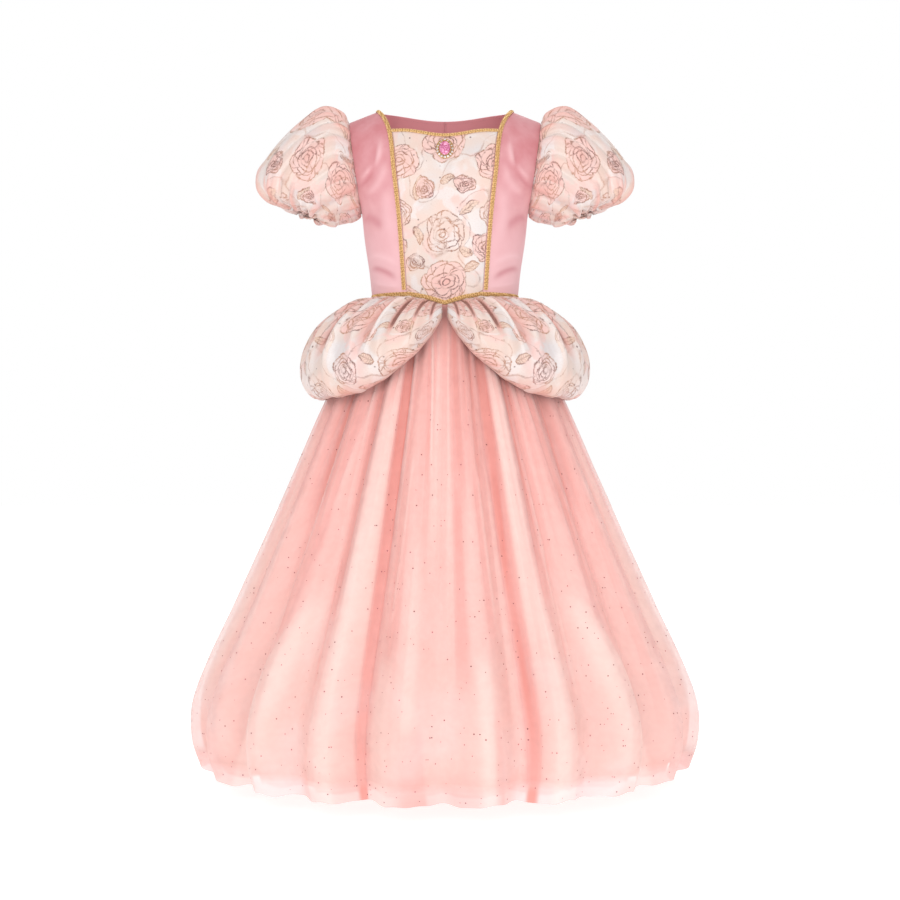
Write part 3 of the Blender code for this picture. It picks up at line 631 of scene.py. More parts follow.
@dataclass(frozen=True)
class Thread(Finish):
    """Spun polyester sewing thread: fine, softly shining, a little darker in its twist."""

    face: str = "E9A9AF"
    shade: str = "B97B84"

    def make(self, tree: Tree, shader: Node) -> None:
        """Wires the twist."""
        place = put(tree, "TexCoord").outputs["Object"]
        twist = put(tree, "TexNoise", place, ("Scale", 900.0), ("Detail", 1.0))
        yarn = put(tree, "MixRGB", twist, self.shade, self.face)
        surface(tree, shader, base_color=yarn, roughness=0.55)


VELOUR = Velour("rose_stretch_velour", Slot.VELOUR)
BROCADE = RoseBrocade("woven_rose_brocade", Slot.BROCADE)
SATIN = PeachSatin("peach_polyester_satin", Slot.SATIN)
TULLE = PinkTulle("pink_nylon_tulle", Slot.TULLE)
GIMP = GoldGimp("wound_gold_gimp", Slot.BRAID)
STONE = FoiledGlass("foiled_pink_glass", Slot.STONE)
CRYSTAL = FoiledGlass("foiled_clear_crystal", Slot.SETTING, "A98F8C", "FFFAF6")
GLITTER = FoiledGlass("rose_glitter_flake", Slot.TULLE, "6E3A40", "B8707A", 0.0)
GILT = GiltMetal("cast_gilt_brass", Slot.SETTING)
VELOUR_THREAD = Thread("rose_sewing_thread", Slot.VELOUR)
IVORY_THREAD = Thread("ivory_sewing_thread", Slot.BROCADE, "EFDDD2", "BFA292")
PEACH_THREAD = Thread("peach_sewing_thread", Slot.SATIN, "F6B7AC", "D78B80")


@dataclass(frozen=True)
class Curve:
    """A smooth curve through short rows of a key and a value, the keys in rising order."""

    keys: tuple[float, ...]
    values: tuple[float, ...]

    def at(self, key: Array | float) -> Array:
        """Reads the curve.

        Args:
            key: Where to read it. Beyond its ends it keeps its end values.

        Returns:
            The values there.
        """
        keys, values = np.array(self.keys, float), np.array(self.values, float)
        last = len(keys) - 1
        low = np.maximum(np.arange(last + 1) - 1, 0)
        high = np.minimum(np.arange(last + 1) + 1, last)
        slopes = (values[high] - values[low]) / (keys[high] - keys[low])
        key = np.clip(np.asarray(key, float), keys[0], keys[last])
        place = np.clip(np.searchsorted(keys, key, side="right") - 1, 0, last - 1)
        span = keys[place + 1] - keys[place]
        t = (key - keys[place]) / span
        start = (1 + 2 * t) * (1 - t) ** 2 * values[place] + t * (1 - t) ** 2 * span * slopes[place]
        end = t * t * (3 - 2 * t) * values[place + 1] - t * t * (1 - t) * span * slopes[place + 1]
        return start + end


def signed_power(value: Array, exponent: Array | float) -> Array:
    """A power that keeps the value's sign, for the sides of a rounded ring."""
    return np.sign(value) * np.abs(value) ** exponent


def smoothstep(value: Array) -> Array:
    """Eases a share from 0 to 1, and keeps what lies beyond at the ends."""
    share = np.clip(value, 0.0, 1.0)
    return share * share * (3 - 2 * share)


def unit(vectors: Array) -> Array:
    """Vectors of length one, along the last axis."""
    return vectors / np.maximum(np.linalg.norm(vectors, axis=-1, keepdims=True), 1e-12)


def run_along(line: Array) -> Array:
    """How far along a line each of its points lies."""
    return np.concatenate([[0], np.cumsum(np.linalg.norm(np.diff(line, axis=0), axis=1))])


def read_rows(at: Array, keys: Array, rows: Array) -> Array:
    """Reads rows of three values at places between their keys."""
    return np.stack([np.interp(at, keys, rows[:, k]) for k in range(3)], axis=1)


def new_piece(name: str, finish: Finish, points: Array, faces: list[list[int]],
              places: Array) -> Piece:
    """Makes an object from points and faces.

    Args:
        name: Its name.
        finish: What it is made of.
        points: Its points.
        faces: Its faces, as places in those points.
        places: Where each corner of each face lies on the flat cloth.

    Returns:
        The object.
    """
    mesh = bpy.data.meshes.new(name)
    mesh.from_pydata(points.reshape(-1, 3).tolist(), [], faces)
    mesh.uv_layers.new(name="cut").data.foreach_set("uv", places.astype(np.float32).ravel())
    mesh.materials.append(finish.material())
    piece = bpy.data.objects.new(name, mesh)
    bpy.context.scene.collection.objects.link(piece)
    return piece


def mark(piece: Piece, name: str, kind: str, values: Array) -> None:
    """Gives each point or face of a piece a value that its material reads."""
    made = piece.data.attributes.new(name, "FLOAT", kind)
    made.data.foreach_set("value", values.astype(np.float32).ravel())


@dataclass
class ClothGrid:
    """A grid of cloth, in rows from one edge to the other.

    The fold of a point runs from -1 on a crest to 1 at the bottom of a fold. The materials paint
    highlight on crests and shade in folds from it.
    """

    points: Array
    closed: bool
    outwards: int
    fold: Array

    def normals(self) -> Array:
        """The outward normal at each point, from the points beside it."""
        up = np.gradient(self.points, axis=0)
        if self.closed:
            across = np.roll(self.points, -1, axis=1) - np.roll(self.points, 1, axis=1)
        else:
            across = np.gradient(self.points, axis=1)
        return unit(np.cross(across, up)) * self.outwards

    def mirrored(self) -> "ClothGrid":
        """The grid of the other side of the dress."""
        return ClothGrid(self.points * (-1, 1, 1), self.closed, -self.outwards, self.fold)

    def laid_flat(self) -> Array:
        """Where each point lies on the cut cloth, in metres across and up."""
        points = self.points
        if self.closed:
            points = np.concatenate([points, points[:, :1]], axis=1)
        across = np.linalg.norm(np.diff(points, axis=1), axis=2)
        down = np.linalg.norm(np.diff(points, axis=0), axis=2)
        u = np.zeros(points.shape[:2])
        v = np.zeros(points.shape[:2])
        u[:, 1:] = np.cumsum(across, axis=1)
        u -= u.mean(axis=1, keepdims=True)
        v[1:] = np.cumsum(down, axis=0)
        return np.stack([u, v.mean(axis=1, keepdims=True) + 0 * v], axis=2)

    def ring(self, row: int) -> tuple[Array, Array]:
        """The points and outward normals of a closed row, back to the first."""
        line, normals = self.points[row], self.normals()[row]
        return np.concatenate([line, line[:1]]), np.concatenate([normals, normals[:1]])

    def gathered_flat(self, width: float) -> Array:
        """Where each point lies on a straight length of cloth that is gathered at its top."""
        flat = self.laid_flat()
        flat[..., 0] = np.linspace(0, width, flat.shape[1])
        return flat

    def build(self, name: str, finish: Finish, thickness: float,
              cut: Array | None = None) -> Piece:
        """Makes the sheet an object, with its thickness on the inside.

        Args:
            name: The piece's name.
            finish: What it is made of.
            thickness: How thick the cloth is. At zero it stays a single face.
            cut: Where each point lies on the cut cloth, worked out from the grid if left out.

        Returns:
            The object.
        """
        rows, columns = self.points.shape[:2]
        cut = self.laid_flat() if cut is None else cut
        steps = columns if self.closed else columns - 1
        i, j = np.meshgrid(np.arange(rows - 1), np.arange(steps), indexing="ij")
        k = (j + 1) % columns
        corners = [(i, j, j), (i, k, j + 1), (i + 1, k, j + 1), (i + 1, j, j)]
        if self.outwards < 0:
            corners = corners[::-1]
        faces = np.stack([(a * columns + b).ravel() for a, b, _ in corners], axis=1)
        places = np.stack([cut[a.ravel(), c.ravel()] for a, _, c in corners], axis=1)
        piece = new_piece(name, finish, self.points, faces.tolist(), places)
        mark(piece, "fold", "POINT", np.clip(self.fold, -1.5, 1.5))
        piece.data.shade_smooth()
        if thickness > 0:
            wall = piece.modifiers.new("thickness", "SOLIDIFY")
            wall.thickness = thickness
            wall.offset = -1.0
        return piece


def dress(piece: Piece, finish: Finish, *nodes: str) -> Piece:
    """Fastens a finished piece to the dress and hides the solids that it replaces, if any.

    Args:
        piece: The finished piece.
        finish: What it is made of; not used.
        nodes: The solids that it replaces.

    Returns:
        The same piece.
    """
    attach(piece, "root")
    if nodes:
        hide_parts(*nodes)
    return piece


@dataclass
class Parts:
    """Corners and faces that grow into one joined mesh."""

    corners: list[Array]
    faces: list[list[int]]
    cuts: list[list[float]]

    @classmethod
    def empty(cls) -> "Parts":
        """Parts with nothing in them yet."""
        return cls([], [], [])

    def add(self, corners: Array, faces: list[list[int]], cuts: Array) -> None:
        """Adds one small shape.

        Args:
            corners: Its points.
            faces: Its faces, as places in those points.
            cuts: The flat place of each point, for patterns.
        """
        start = sum(len(group) for group in self.corners)
        self.corners.append(corners)
        self.faces += [[start + place for place in face] for face in faces]
        self.cuts += cuts.tolist()

    def tube(self, line: Array, side: Array, up: Array, sizes: tuple[float, float],
             sides: int) -> None:
        """Adds a cord along a line, closed at both ends.

        Args:
            line: The points down its middle.
            side: A direction across it at each point.
            up: A direction out of the cloth at each point.
            sizes: Its half width and half height.
            sides: How many sides it has.
        """
        count = len(line)
        turn = 2 * np.pi * (np.arange(sides) + 0.5) / sides
        ring = side[:, None] * (np.cos(turn) * sizes[0])[None, :, None]
        ring = ring + up[:, None] * (np.sin(turn) * sizes[1])[None, :, None]
        corners = (line[:, None] + ring).reshape(-1, 3)
        faces = []
        for i in range(count - 1):
            for j in range(sides):
                a, b = i * sides + j, i * sides + (j + 1) % sides
                faces.append([a, b, b + sides, a + sides])
        faces.append(list(range(sides))[::-1])
        faces.append([(count - 1) * sides + j for j in range(sides)])
        cuts = np.stack([np.repeat(run_along(line), sides), np.tile(sizes[0] * turn, count)],
                        axis=1)
        self.add(corners, faces, cuts)

    def build(self, name: str, finish: Finish, smooth: bool = True) -> Piece:
        """Makes the parts one object.

        Args:
            name: The piece's name.
            finish: What it is made of.
            smooth: Whether it is shaded as one round surface.

        Returns:
            The object.
        """
        places = np.array(self.cuts)[[v for face in self.faces for v in face]]
        piece = new_piece(name, finish, np.concatenate(self.corners), self.faces, places)
        # Each face gets a random painted glint, which the foiled glass reads.
        mark(piece, "flash", "FACE", np.random.default_rng(SEED).random(len(self.faces)))
        if smooth:
            piece.data.shade_smooth()
        return piece


def spaced(line: Array, step: float) -> tuple[Array, Array]:
    """Reads a line again at even steps.

    Args:
        line: Its points.
        step: About how far apart the new points lie.

    Returns:
        The new points, and where each lies as a place between the old ones.
    """
    run = run_along(line)
    count = max(3, int(round(run[-1] / step)) + 1)
    at = np.linspace(0, run[-1], count)
    return read_rows(at, run, line), np.interp(at, run, np.arange(len(line)))


@dataclass(frozen=True)
class Stitches:
    """A row of machine stitches, each a small pointed bead of thread lying on the cloth."""

    length: float = 0.0022
    gap: float = 0.0011
    half_width: float = 0.00028
    lift: float = 0.0001

    def sew(self, parts: Parts, line: Array, normals: Array) -> None:
        """Adds the row to parts.

        Args:
            parts: What the stitches are added to.
            line: The seam's points on the cloth.
            normals: The cloth's outward normal at each.
        """
        points, places = spaced(line, self.length + self.gap)
        along = unit(np.gradient(points, axis=0))
        out = unit(read_rows(places, np.arange(len(line)), normals))
        side = unit(np.cross(along, out))
        faces = [[0, 2, 4], [0, 4, 3], [0, 3, 5], [0, 5, 2], [1, 4, 2], [1, 3, 4], [1, 5, 3],
                 [1, 2, 5]]
        for point, a, s, n in zip(points[:-1], along, side, out):
            seat = point + n * self.lift
            half = a * self.length / 2
            corners = np.array([seat - half, seat + half, seat - s * self.half_width,
                                seat + s * self.half_width, seat + n * self.half_width,
                                seat - n * self.half_width])
            parts.add(corners, faces, np.zeros((6, 2)))


@dataclass(frozen=True)
class Crease:
    """A soft ridge or trough on the bodice, from one point to another as seen from in front.

    Lengths are in metres. A positive height is a ridge. The bow is how far its middle strays.
    """

    start: tuple[float, float]
    end: tuple[float, float]
    height: float
    width: float
    bow: float


FRONT_CREASES = (
    Crease((0.112, -0.1), (0.088, -0.048), 0.0015, 0.0042, 0.009),
    Crease((0.116, -0.112), (0.096, -0.066), -0.0013, 0.0038, 0.008),
    Crease((0.104, -0.122), (0.08, -0.082), 0.0009, 0.0054, 0.006),
    Crease((0.11, -0.15), (0.084, -0.172), -0.0012, 0.006, -0.003),
    Crease((0.102, -0.205), (0.064, -0.222), 0.0013, 0.0045, -0.003),
    Crease((0.099, -0.222), (0.066, -0.24), -0.0014, 0.004, -0.002),
    Crease((0.096, -0.242), (0.058, -0.252), 0.0012, 0.0036, 0.002),
    Crease((0.078, -0.12), (0.072, -0.19), 0.0009, 0.008, 0.003),
)
BACK_CREASES = (
    Crease((0.113, -0.108), (0.08, -0.06), 0.0018, 0.0045, 0.008),
    Crease((0.115, -0.124), (0.082, -0.092), -0.0016, 0.0042, 0.005),
    Crease((0.098, -0.208), (0.04, -0.224), 0.0014, 0.005, -0.004),
    Crease((0.096, -0.228), (0.03, -0.24), -0.0013, 0.0044, -0.003),
    Crease((0.07, -0.246), (0.012, -0.254), 0.0012, 0.0034, 0.002),
    Crease((0.024, -0.15), (0.016, -0.215), -0.0009, 0.006, 0.002),
)


def creased(x: Array, z: Array, creases: tuple[Crease, ...]) -> Array:
    """How far creases lift the cloth, the same on both sides of the dress.

    Args:
        x: Each point's distance to the side.
        z: Each point's height.
        creases: The ridges and troughs.

    Returns:
        The height above the plain form.
    """
    lift = np.zeros(np.shape(x))
    for crease in creases:
        start, end = np.array(crease.start), np.array(crease.end)
        run = end - start
        length = np.linalg.norm(run)
        way = run / length
        across = np.array((-way[1], way[0]))
        dx, dz = np.abs(x) - start[0], z - start[1]
        share = (dx * way[0] + dz * way[1]) / length
        bow = crease.bow * (1 - (2 * np.clip(share, 0, 1) - 1) ** 2)
        off = dx * across[0] + dz * across[1] - bow
        ends = smoothstep((share + 0.12) / 0.3) * smoothstep((1.15 - share) / 0.5)
        lift += crease.height * np.exp(-(off / crease.width) ** 2) * ends
    return lift


TORSO_KEYS = (-0.264, -0.225, -0.185, -0.1425, -0.115)


@dataclass(frozen=True)
class Torso:
    """The general child's figure that the bodice is cut to."""

    waist: float = -0.264
    chest: float = -0.115
    fullness: float = 2.4
    underarm: float = -0.1425
    underarm_x: float = 0.1145
    shoulder_x: float = 0.1330
    armhole_height: float = 0.125
    armhole_half_depth: float = 0.047
    slope_start: float = 0.66
    neck_x: float = 0.090
    back_lift: float = 0.048
    waist_dip: float = 0.0125
    waist_dip_half: float = 0.050
    waist_dip_power: float = 1.4
    climb_power: float = 2.2
    round_power: float = 1.9
    half_width: Curve = Curve(TORSO_KEYS, (0.1, 0.104, 0.11, 0.1145, 0.117))
    front: Curve = Curve(TORSO_KEYS, (0.079, 0.083, 0.087, 0.088, 0.088))
    back: Curve = Curve(TORSO_KEYS, (0.075, 0.076, 0.078, 0.08, 0.08))

    @property
    def drop(self) -> float:
        """How far the shoulder point lies below the neck point."""
        return -self.underarm - self.armhole_height

    def waist_point(self, x: Array) -> Array:
        """How far the waist dips to its small point at centre front."""
        share = np.maximum(0.0, 1 - np.abs(x) / self.waist_dip_half)
        return self.waist_dip * share ** self.waist_dip_power

    def rise_at(self, level: Array) -> Array:
        """How far above the underarm a ring of this level meets the armhole."""
        above = np.maximum(level - self.underarm, 0.0)
        bend = self.drop / self.armhole_height ** 2
        return (np.sqrt(1 + 4 * bend * above) - 1) / (2 * bend)

    def level_at(self, rise: Array) -> Array:
        """The level of the ring that meets the armhole this far above the underarm."""
        return self.underarm + rise + self.drop * (rise / self.armhole_height) ** 2

    def armhole(self, rise: Array) -> tuple[Array, Array]:
        """The armhole's x and half depth this far above the underarm."""
        share = np.minimum(rise / self.armhole_height, 1.0)
        x = self.underarm_x + (self.shoulder_x - self.underarm_x) * share
        return x, self.armhole_half_depth * np.sqrt(np.maximum(0.0, 1 - (2 * share - 1) ** 2))

    def depth(self, level: Array, front: Array) -> Array:
        """How far the figure stands out before or behind its mid plane."""
        low = np.where(front, self.front.at(level), self.back.at(level))
        climb = np.clip((level - self.chest) / -self.chest, 0.0, 1.0)
        return low * (1 - climb ** self.climb_power) ** (1 / self.round_power)

    def ring_half(self, level: Array, depth: Array) -> Array:
        """The half width of the ring, which runs through the armhole's edge above the underarm."""
        x, y = self.armhole(self.rise_at(level))
        share = np.where(depth > y, y / np.maximum(depth, 1e-9), 0.0)
        above = x / (1 - share ** self.fullness) ** (1 / self.fullness)
        return np.where(level <= self.underarm, self.half_width.at(level), above)

    def point(self, level: Array, angle: Array) -> Array:
        """Points of the figure.

        Args:
            level: The height of each point's ring.
            angle: Each point's turn from the centre front towards the wearer's left.

        Returns:
            The points.
        """
        level = np.minimum(level, 0.0)
        front = np.cos(angle) >= 0
        depth = self.depth(level, front)
        half = self.ring_half(level, depth)
        x = half * signed_power(np.sin(angle), 2 / self.fullness)
        y = -depth * signed_power(np.cos(angle), 2 / self.fullness)
        rise = self.rise_at(level)
        edge, _ = self.armhole(rise)
        slope = np.clip((np.abs(x) / edge - self.slope_start) / (1 - self.slope_start), 0, 1)
        z = level - self.drop * (rise / self.armhole_height) ** 2 * slope
        climb = np.clip((level - self.chest) / -self.chest, 0.0, 1.0)
        lifted = self.back_lift * np.maximum(0.0, 1 - (x / self.neck_x) ** 2) * climb ** 2
        return np.stack([x, y, z + np.where(front, 0.0, lifted)], axis=-1)

    def normal(self, level: Array, angle: Array) -> Array:
        """The outward normals of the figure at those points."""
        turn, rise = math.radians(0.4), 0.0004
        across = self.point(level, angle + turn) - self.point(level, angle - turn)
        up = self.point(level + rise, angle) - self.point(level - rise, angle)
        return unit(np.cross(across, up))

    def angle_at(self, x: Array, level: Array, front: bool) -> Array:
        """The turn, from centre front or centre back, whose ring point has this x."""
        half = self.ring_half(level, self.depth(level, np.full(np.shape(level), front)))
        share = np.clip(np.abs(x) / half, 0.0, 1.0)
        return np.arcsin(share ** (self.fullness / 2)) * np.sign(x)


TORSO = Torso()


@dataclass
class Bodice:
    """The five panels of the bodice, with its seams, turned edges and small waist point."""

    wall: float = 0.0015
    cloth: float = 0.0011
    seam_gap: float = 0.00024
    neckline: float = -0.035
    sweetheart_dip: float = 0.008
    sweetheart_half: float = 0.060
    back_neck: float = -0.030
    back_neck_round: float = 0.8
    seam: Curve = Curve((-0.264, -0.161, -0.094, -0.035, 0.0),
                        (0.051, 0.058, 0.0655, 0.0733, 0.09))
    panel_rows: int = 110
    panel_columns: int = 72
    side_columns: int = 46
    back_columns: int = 64
    low_rows: int = 56
    armhole_rows: int = 62
    closed_gap: float = 0.00004
    crease_scale: float = 0.0019
    turned_edge: float = 0.0040
    stitch_column: int = 4
    print_start: tuple[float, float] = (0.030, -0.017)

    def waist_edge(self, x: Array) -> Array:
        """The level of the bodice's lower edge, with its small point at centre front."""
        return TORSO.waist - TORSO.waist_point(x)

    def neck_edge(self, x: Array) -> Array:
        """The level of the front panel's upper edge, with its sweetheart dip."""
        share = np.minimum(np.abs(x) / self.sweetheart_half, 1.0)
        return self.neckline - self.sweetheart_dip * np.cos(share * np.pi / 2) ** 2

    def levels(self) -> Array:
        """The rows of the side panels, closest together round the armhole."""
        low = np.linspace(TORSO.waist, TORSO.underarm, self.low_rows)
        turn = np.pi * np.arange(1, self.armhole_rows + 1) / self.armhole_rows
        rises = TORSO.armhole_height * (1 - np.cos(turn)) / 2
        return np.concatenate([low, TORSO.level_at(rises)])

    def outer_x(self, level: Array, front: bool) -> Array:
        """The x of the side seam, or of the armhole's edge above the underarm."""
        depth = TORSO.depth(level, np.full(level.shape, front))
        armhole, _ = TORSO.armhole(TORSO.rise_at(level))
        return np.where(level <= TORSO.underarm, TORSO.ring_half(level, depth), armhole)

    def spread(self, start: Array, end: float, count: int) -> Array:
        """Shares of the outer x from start to end, evenly spaced as the ring turns."""
        turns = [np.arcsin(np.asarray(share) ** (TORSO.fullness / 2)) for share in (start, end)]
        steps = np.linspace(0, 1, count)
        middle = turns[0][..., None] + (turns[1] - turns[0])[..., None] * steps
        return np.sin(middle) ** (2 / TORSO.fullness)

    def grid(self, level: Array, angle: Array, front: bool) -> ClothGrid:
        """A panel's outer face, with its creases.

        Args:
            level: The level of each point of the grid.
            angle: The turn of each point from centre front.
            front: Whether it is a front panel.

        Returns:
            The grid.
        """
        points = TORSO.point(level, angle)
        creases = FRONT_CREASES if front else BACK_CREASES
        lift = creased(points[..., 0], points[..., 2], creases)
        points = points + TORSO.normal(level, angle) * (self.wall + lift)[..., None]
        # The crease lift is also the fold value that the materials paint as highlight on ridges and
        # shade in troughs.
        return ClothGrid(points, False, 1, -lift / self.crease_scale)

    def front_panel(self) -> ClothGrid:
        """The front panel, from the waist point up to the sweetheart neck."""
        share = np.linspace(0, 1, self.panel_rows)[:, None]
        across = np.linspace(-1, 1, self.panel_columns + 1)[None]
        nominal = TORSO.waist + (self.neckline - TORSO.waist) * share
        x = (self.seam.at(nominal) - self.seam_gap / 2) * across
        level = self.waist_edge(x) + (self.neck_edge(x) - self.waist_edge(x)) * share
        return self.grid(level, TORSO.angle_at(x, level, True), True)

    def side_front(self) -> ClothGrid:
        """The left side front, from the princess seam to the side seam and armhole."""
        level = self.levels()
        edge = self.outer_x(level, True)
        start = (self.seam.at(level) + self.seam_gap / 2) / edge
        shares = self.spread(start, 1.0, self.side_columns)
        rows = np.broadcast_to(level[:, None], shares.shape)
        angle = TORSO.angle_at(shares * edge[:, None], rows, True)
        made = self.grid(rows, angle, True)
        made.points[rows[:, -1] <= TORSO.underarm, -1, 1] = -self.seam_gap / 2
        return self.shoulder(made, -1)

    def shoulder(self, made: ClothGrid, way: int) -> ClothGrid:
        """Puts the top row on its own side of the shoulder seam."""
        top = made.points[-1]
        beyond = np.abs(top[:, 0]) >= TORSO.neck_x - self.seam_gap
        top[beyond, 1] = way * self.seam_gap / 2
        return made

    def back(self) -> ClothGrid:
        """The left back, from the centre back to the side seam and armhole."""
        nominal = self.levels()
        neck = TORSO.neck_x / TORSO.shoulder_x
        low = self.spread(np.array(0.0), neck, self.back_columns * 5 // 8)
        high = self.spread(np.array(neck), 1.0, self.back_columns * 3 // 8)
        shares = np.concatenate([low, high[1:]])
        neck_share = np.minimum(shares * TORSO.shoulder_x / TORSO.neck_x, 1.0)
        top = self.back_neck * (1 - neck_share ** 2) ** self.back_neck_round
        rise = (top - TORSO.waist) / -TORSO.waist
        level = TORSO.waist + (nominal[:, None] - TORSO.waist) * rise[None]
        x = shares[None] * self.outer_x(level, False)
        angle = np.pi - TORSO.angle_at(x, level, False)
        made = self.grid(level, angle, False)
        made.points[:, 0, 0] = self.closed_gap / 2
        made.points[nominal <= TORSO.underarm, -1, 1] = self.seam_gap / 2
        made.outwards = -1
        return self.shoulder(made, 1)

    def build(self) -> None:
        """Builds the panels, a row of stitches down each back near the centre and the stitching of
        the turned edges.
        """
        front = self.front_panel()
        cut = front.points[..., [0, 2]] * (1, -1) + self.print_start
        panel = front.build("rose_front_panel", BROCADE, self.cloth, cut)
        dress(panel, BROCADE, "front_panel")
        side_front, back = self.side_front(), self.back()
        sewing = Parts.empty()
        for side, word in SIDES:
            grid = side_front if side > 0 else side_front.mirrored()
            piece = grid.build(f"velour_side_front_{word}", VELOUR, self.cloth)
            dress(piece, VELOUR, f"side_front_{word}")
            grid = back if side > 0 else back.mirrored()
            piece = grid.build(f"velour_back_{word}", VELOUR, self.cloth)
            dress(piece, VELOUR, f"back_{word}")
            normals = grid.normals()
            stitches = Stitches()
            column = self.stitch_column
            stitches.sew(sewing, grid.points[:, column], normals[:, column])
            below = grid.points[-1] * 0.42 + grid.points[-2] * 0.58
            neck = np.abs(grid.points[-1, :, 0]) < TORSO.neck_x
            stitches.sew(sewing, below[neck] - (0, 0, self.turned_edge), normals[-2][neck])
        dress(sewing.build("bodice_stitching", VELOUR_THREAD), VELOUR_THREAD)
        LOG.info("bodice: five panels and their stitching")


@dataclass(frozen=True)
class GimpBraid:
    """Gold gimp: two cords that cross over each other on a flat tape, edged by fine cords."""

    width: float = 0.0058
    tape_height: float = 0.0008
    pitch: float = 0.0048
    cord_radius: float = 0.00078
    edge_radius: float = 0.00042
    points_a_pitch: int = 8
    seat: float = 0.0001

    def lay(self, name: str, line: Array, normals: Array, node: str,
            slim: float = 1.0) -> None:
        """Lays a length of braid on the cloth.

        Args:
            name: The piece's name.
            line: The points of its middle on the cloth.
            normals: The cloth's outward normal at each.
            node: The solid that it replaces.
            slim: Its width as a share of the full one.
        """
        points, places = spaced(line, self.pitch / self.points_a_pitch)
        up = unit(read_rows(places, np.arange(len(line)), normals))
        along = unit(np.gradient(points, axis=0))
        side = unit(np.cross(along, up))
        up = unit(np.cross(side, along))
        parts = Parts.empty()
        base = points + up * (self.seat + self.tape_height / 2)
        half = self.width * slim / 2
        parts.tube(base, side, up, (half * 1.12, self.tape_height * 0.6), 4)
        wave = 2 * np.pi * np.arange(len(points)) / self.points_a_pitch
        high = base + up * (self.tape_height / 2 + self.cord_radius * 0.55)
        reach = half - self.cord_radius * 1.5
        for way in (1, -1):
            swing = side * (way * reach * np.sin(wave))[:, None]
            lift = up * (way * self.cord_radius * 0.55 * np.cos(wave))[:, None]
            parts.tube(high + swing + lift, side, up, (self.cord_radius, self.cord_radius), 6)
            edge = base + side * (way * (half - self.edge_radius))
            edge = edge + up * (self.tape_height / 2 + self.edge_radius * 0.4)
            parts.tube(edge[::3], side[::3], up[::3], (self.edge_radius, self.edge_radius * 1.4), 5)
        dress(parts.build(name, GIMP), GIMP, node)


@dataclass
class Trims:
    """The gold braid along the neck, the princess seams and the front of the waist."""

    braid: GimpBraid
    bodice: Bodice
    inset: float = 0.0031
    waist_width: float = 0.0072
    columns: int = 90
    waist_half: float = 0.0985
    end_gap: float = 0.0008
    end_y: float = -0.0006

    def along_x(self, level_of: object, half: float, lift: float) -> tuple[Array, Array]:
        """A line across the front at a level that depends on x.

        Args:
            level_of: A function from x to the level.
            half: How far it reaches to each side.
            lift: How far above that level it lies.

        Returns:
            Its points on the cloth, and the normals there.
        """
        x = np.linspace(-half, half, self.columns)
        level = level_of(x) + lift
        angle = TORSO.angle_at(x, level, True)
        normal = TORSO.normal(level, angle)
        return TORSO.point(level, angle) + normal * self.bodice.wall, normal

    def build(self) -> None:
        """Builds the four braids."""
        seam = self.bodice.seam
        half = float(seam.at(self.bodice.neckline)) - self.end_gap
        line, normal = self.along_x(self.bodice.neck_edge, half, -self.inset)
        self.braid.lay("gimp_neck", line, normal, "braid_neck", 0.86)
        line, normal = self.along_x(self.bodice.waist_edge, self.waist_half, self.inset)
        self.braid.lay("gimp_waist", line, normal, "braid_waist")
        level = self.bodice.levels()
        level = level[level > TORSO.waist + self.waist_width]
        x = seam.at(level) + self.inset
        angle = TORSO.angle_at(x, level, True)
        normal = TORSO.normal(level, angle)
        points = TORSO.point(level, angle) + normal * self.bodice.wall
        points[-1, 1] = self.end_y
        for side, word in SIDES:
            flip = np.array((side, 1, 1))
            self.braid.lay(f"gimp_princess_{word}", points * flip, normal * flip,
                           f"braid_princess_{word}")
        LOG.info("trims: gold gimp on the neck, princess seams and waist")


# A fold's tone dents the cloth and, through the fold value, is also painted as shade in troughs and
# highlight on crests.
@dataclass(frozen=True)
class Fold:
    """A fold or streak of cloth that runs down a piece.

    Its middle drifts across from its first place to its last, between two shares of the
    piece's length, and its half width goes from the first to the second. A tone of 1 is the
    bottom of a fold, -1 a crest. Its crisp side is -1 or 1, 2 for both and 0 for neither.
    """

    first: float
    last: float
    start: float
    end: float
    half_start: float
    half_end: float
    tone: float
    crisp: int


def fold_tones(across: Array, along: Array, rows: tuple[tuple[float, ...], ...],
               step: float, period: float = 0.0) -> Array:
    """Adds up folds over a grid.

    Args:
        across: Each point's place across the piece.
        along: Each point's share of its length.
        rows: The folds' values.
        step: How far apart the points lie across: no edge is crisper than two steps.
        period: After how much the places across repeat, or zero if they don't.

    Returns:
        The tone at each point.
    """
    tones = np.zeros(np.broadcast(across, along).shape)
    for fold in (Fold(*row) for row in rows):
        share = np.clip((along - fold.start) / (fold.end - fold.start), 0.0, 1.0)
        off = across - fold.first - (fold.last - fold.first) * share
        if period:
            off = (off + period / 2) % period - period / 2
        half = fold.half_start + (fold.half_end - fold.half_start) * share
        low, high = (np.maximum(0.35 if fold.crisp in (side, 2) else 1.3, 2 * step / half)
                     for side in (-1, 1))
        sides = smoothstep((off / half + 1) / low + 0.5)
        sides = sides * smoothstep((1 - off / half) / high + 0.5)
        top = smoothstep(share * 5) if fold.start > 0.02 else 1.0
        foot = smoothstep((1 - share) * 3) if fold.end < 0.97 else 1.0
        tones = tones + fold.tone * sides * top * foot
    return tones


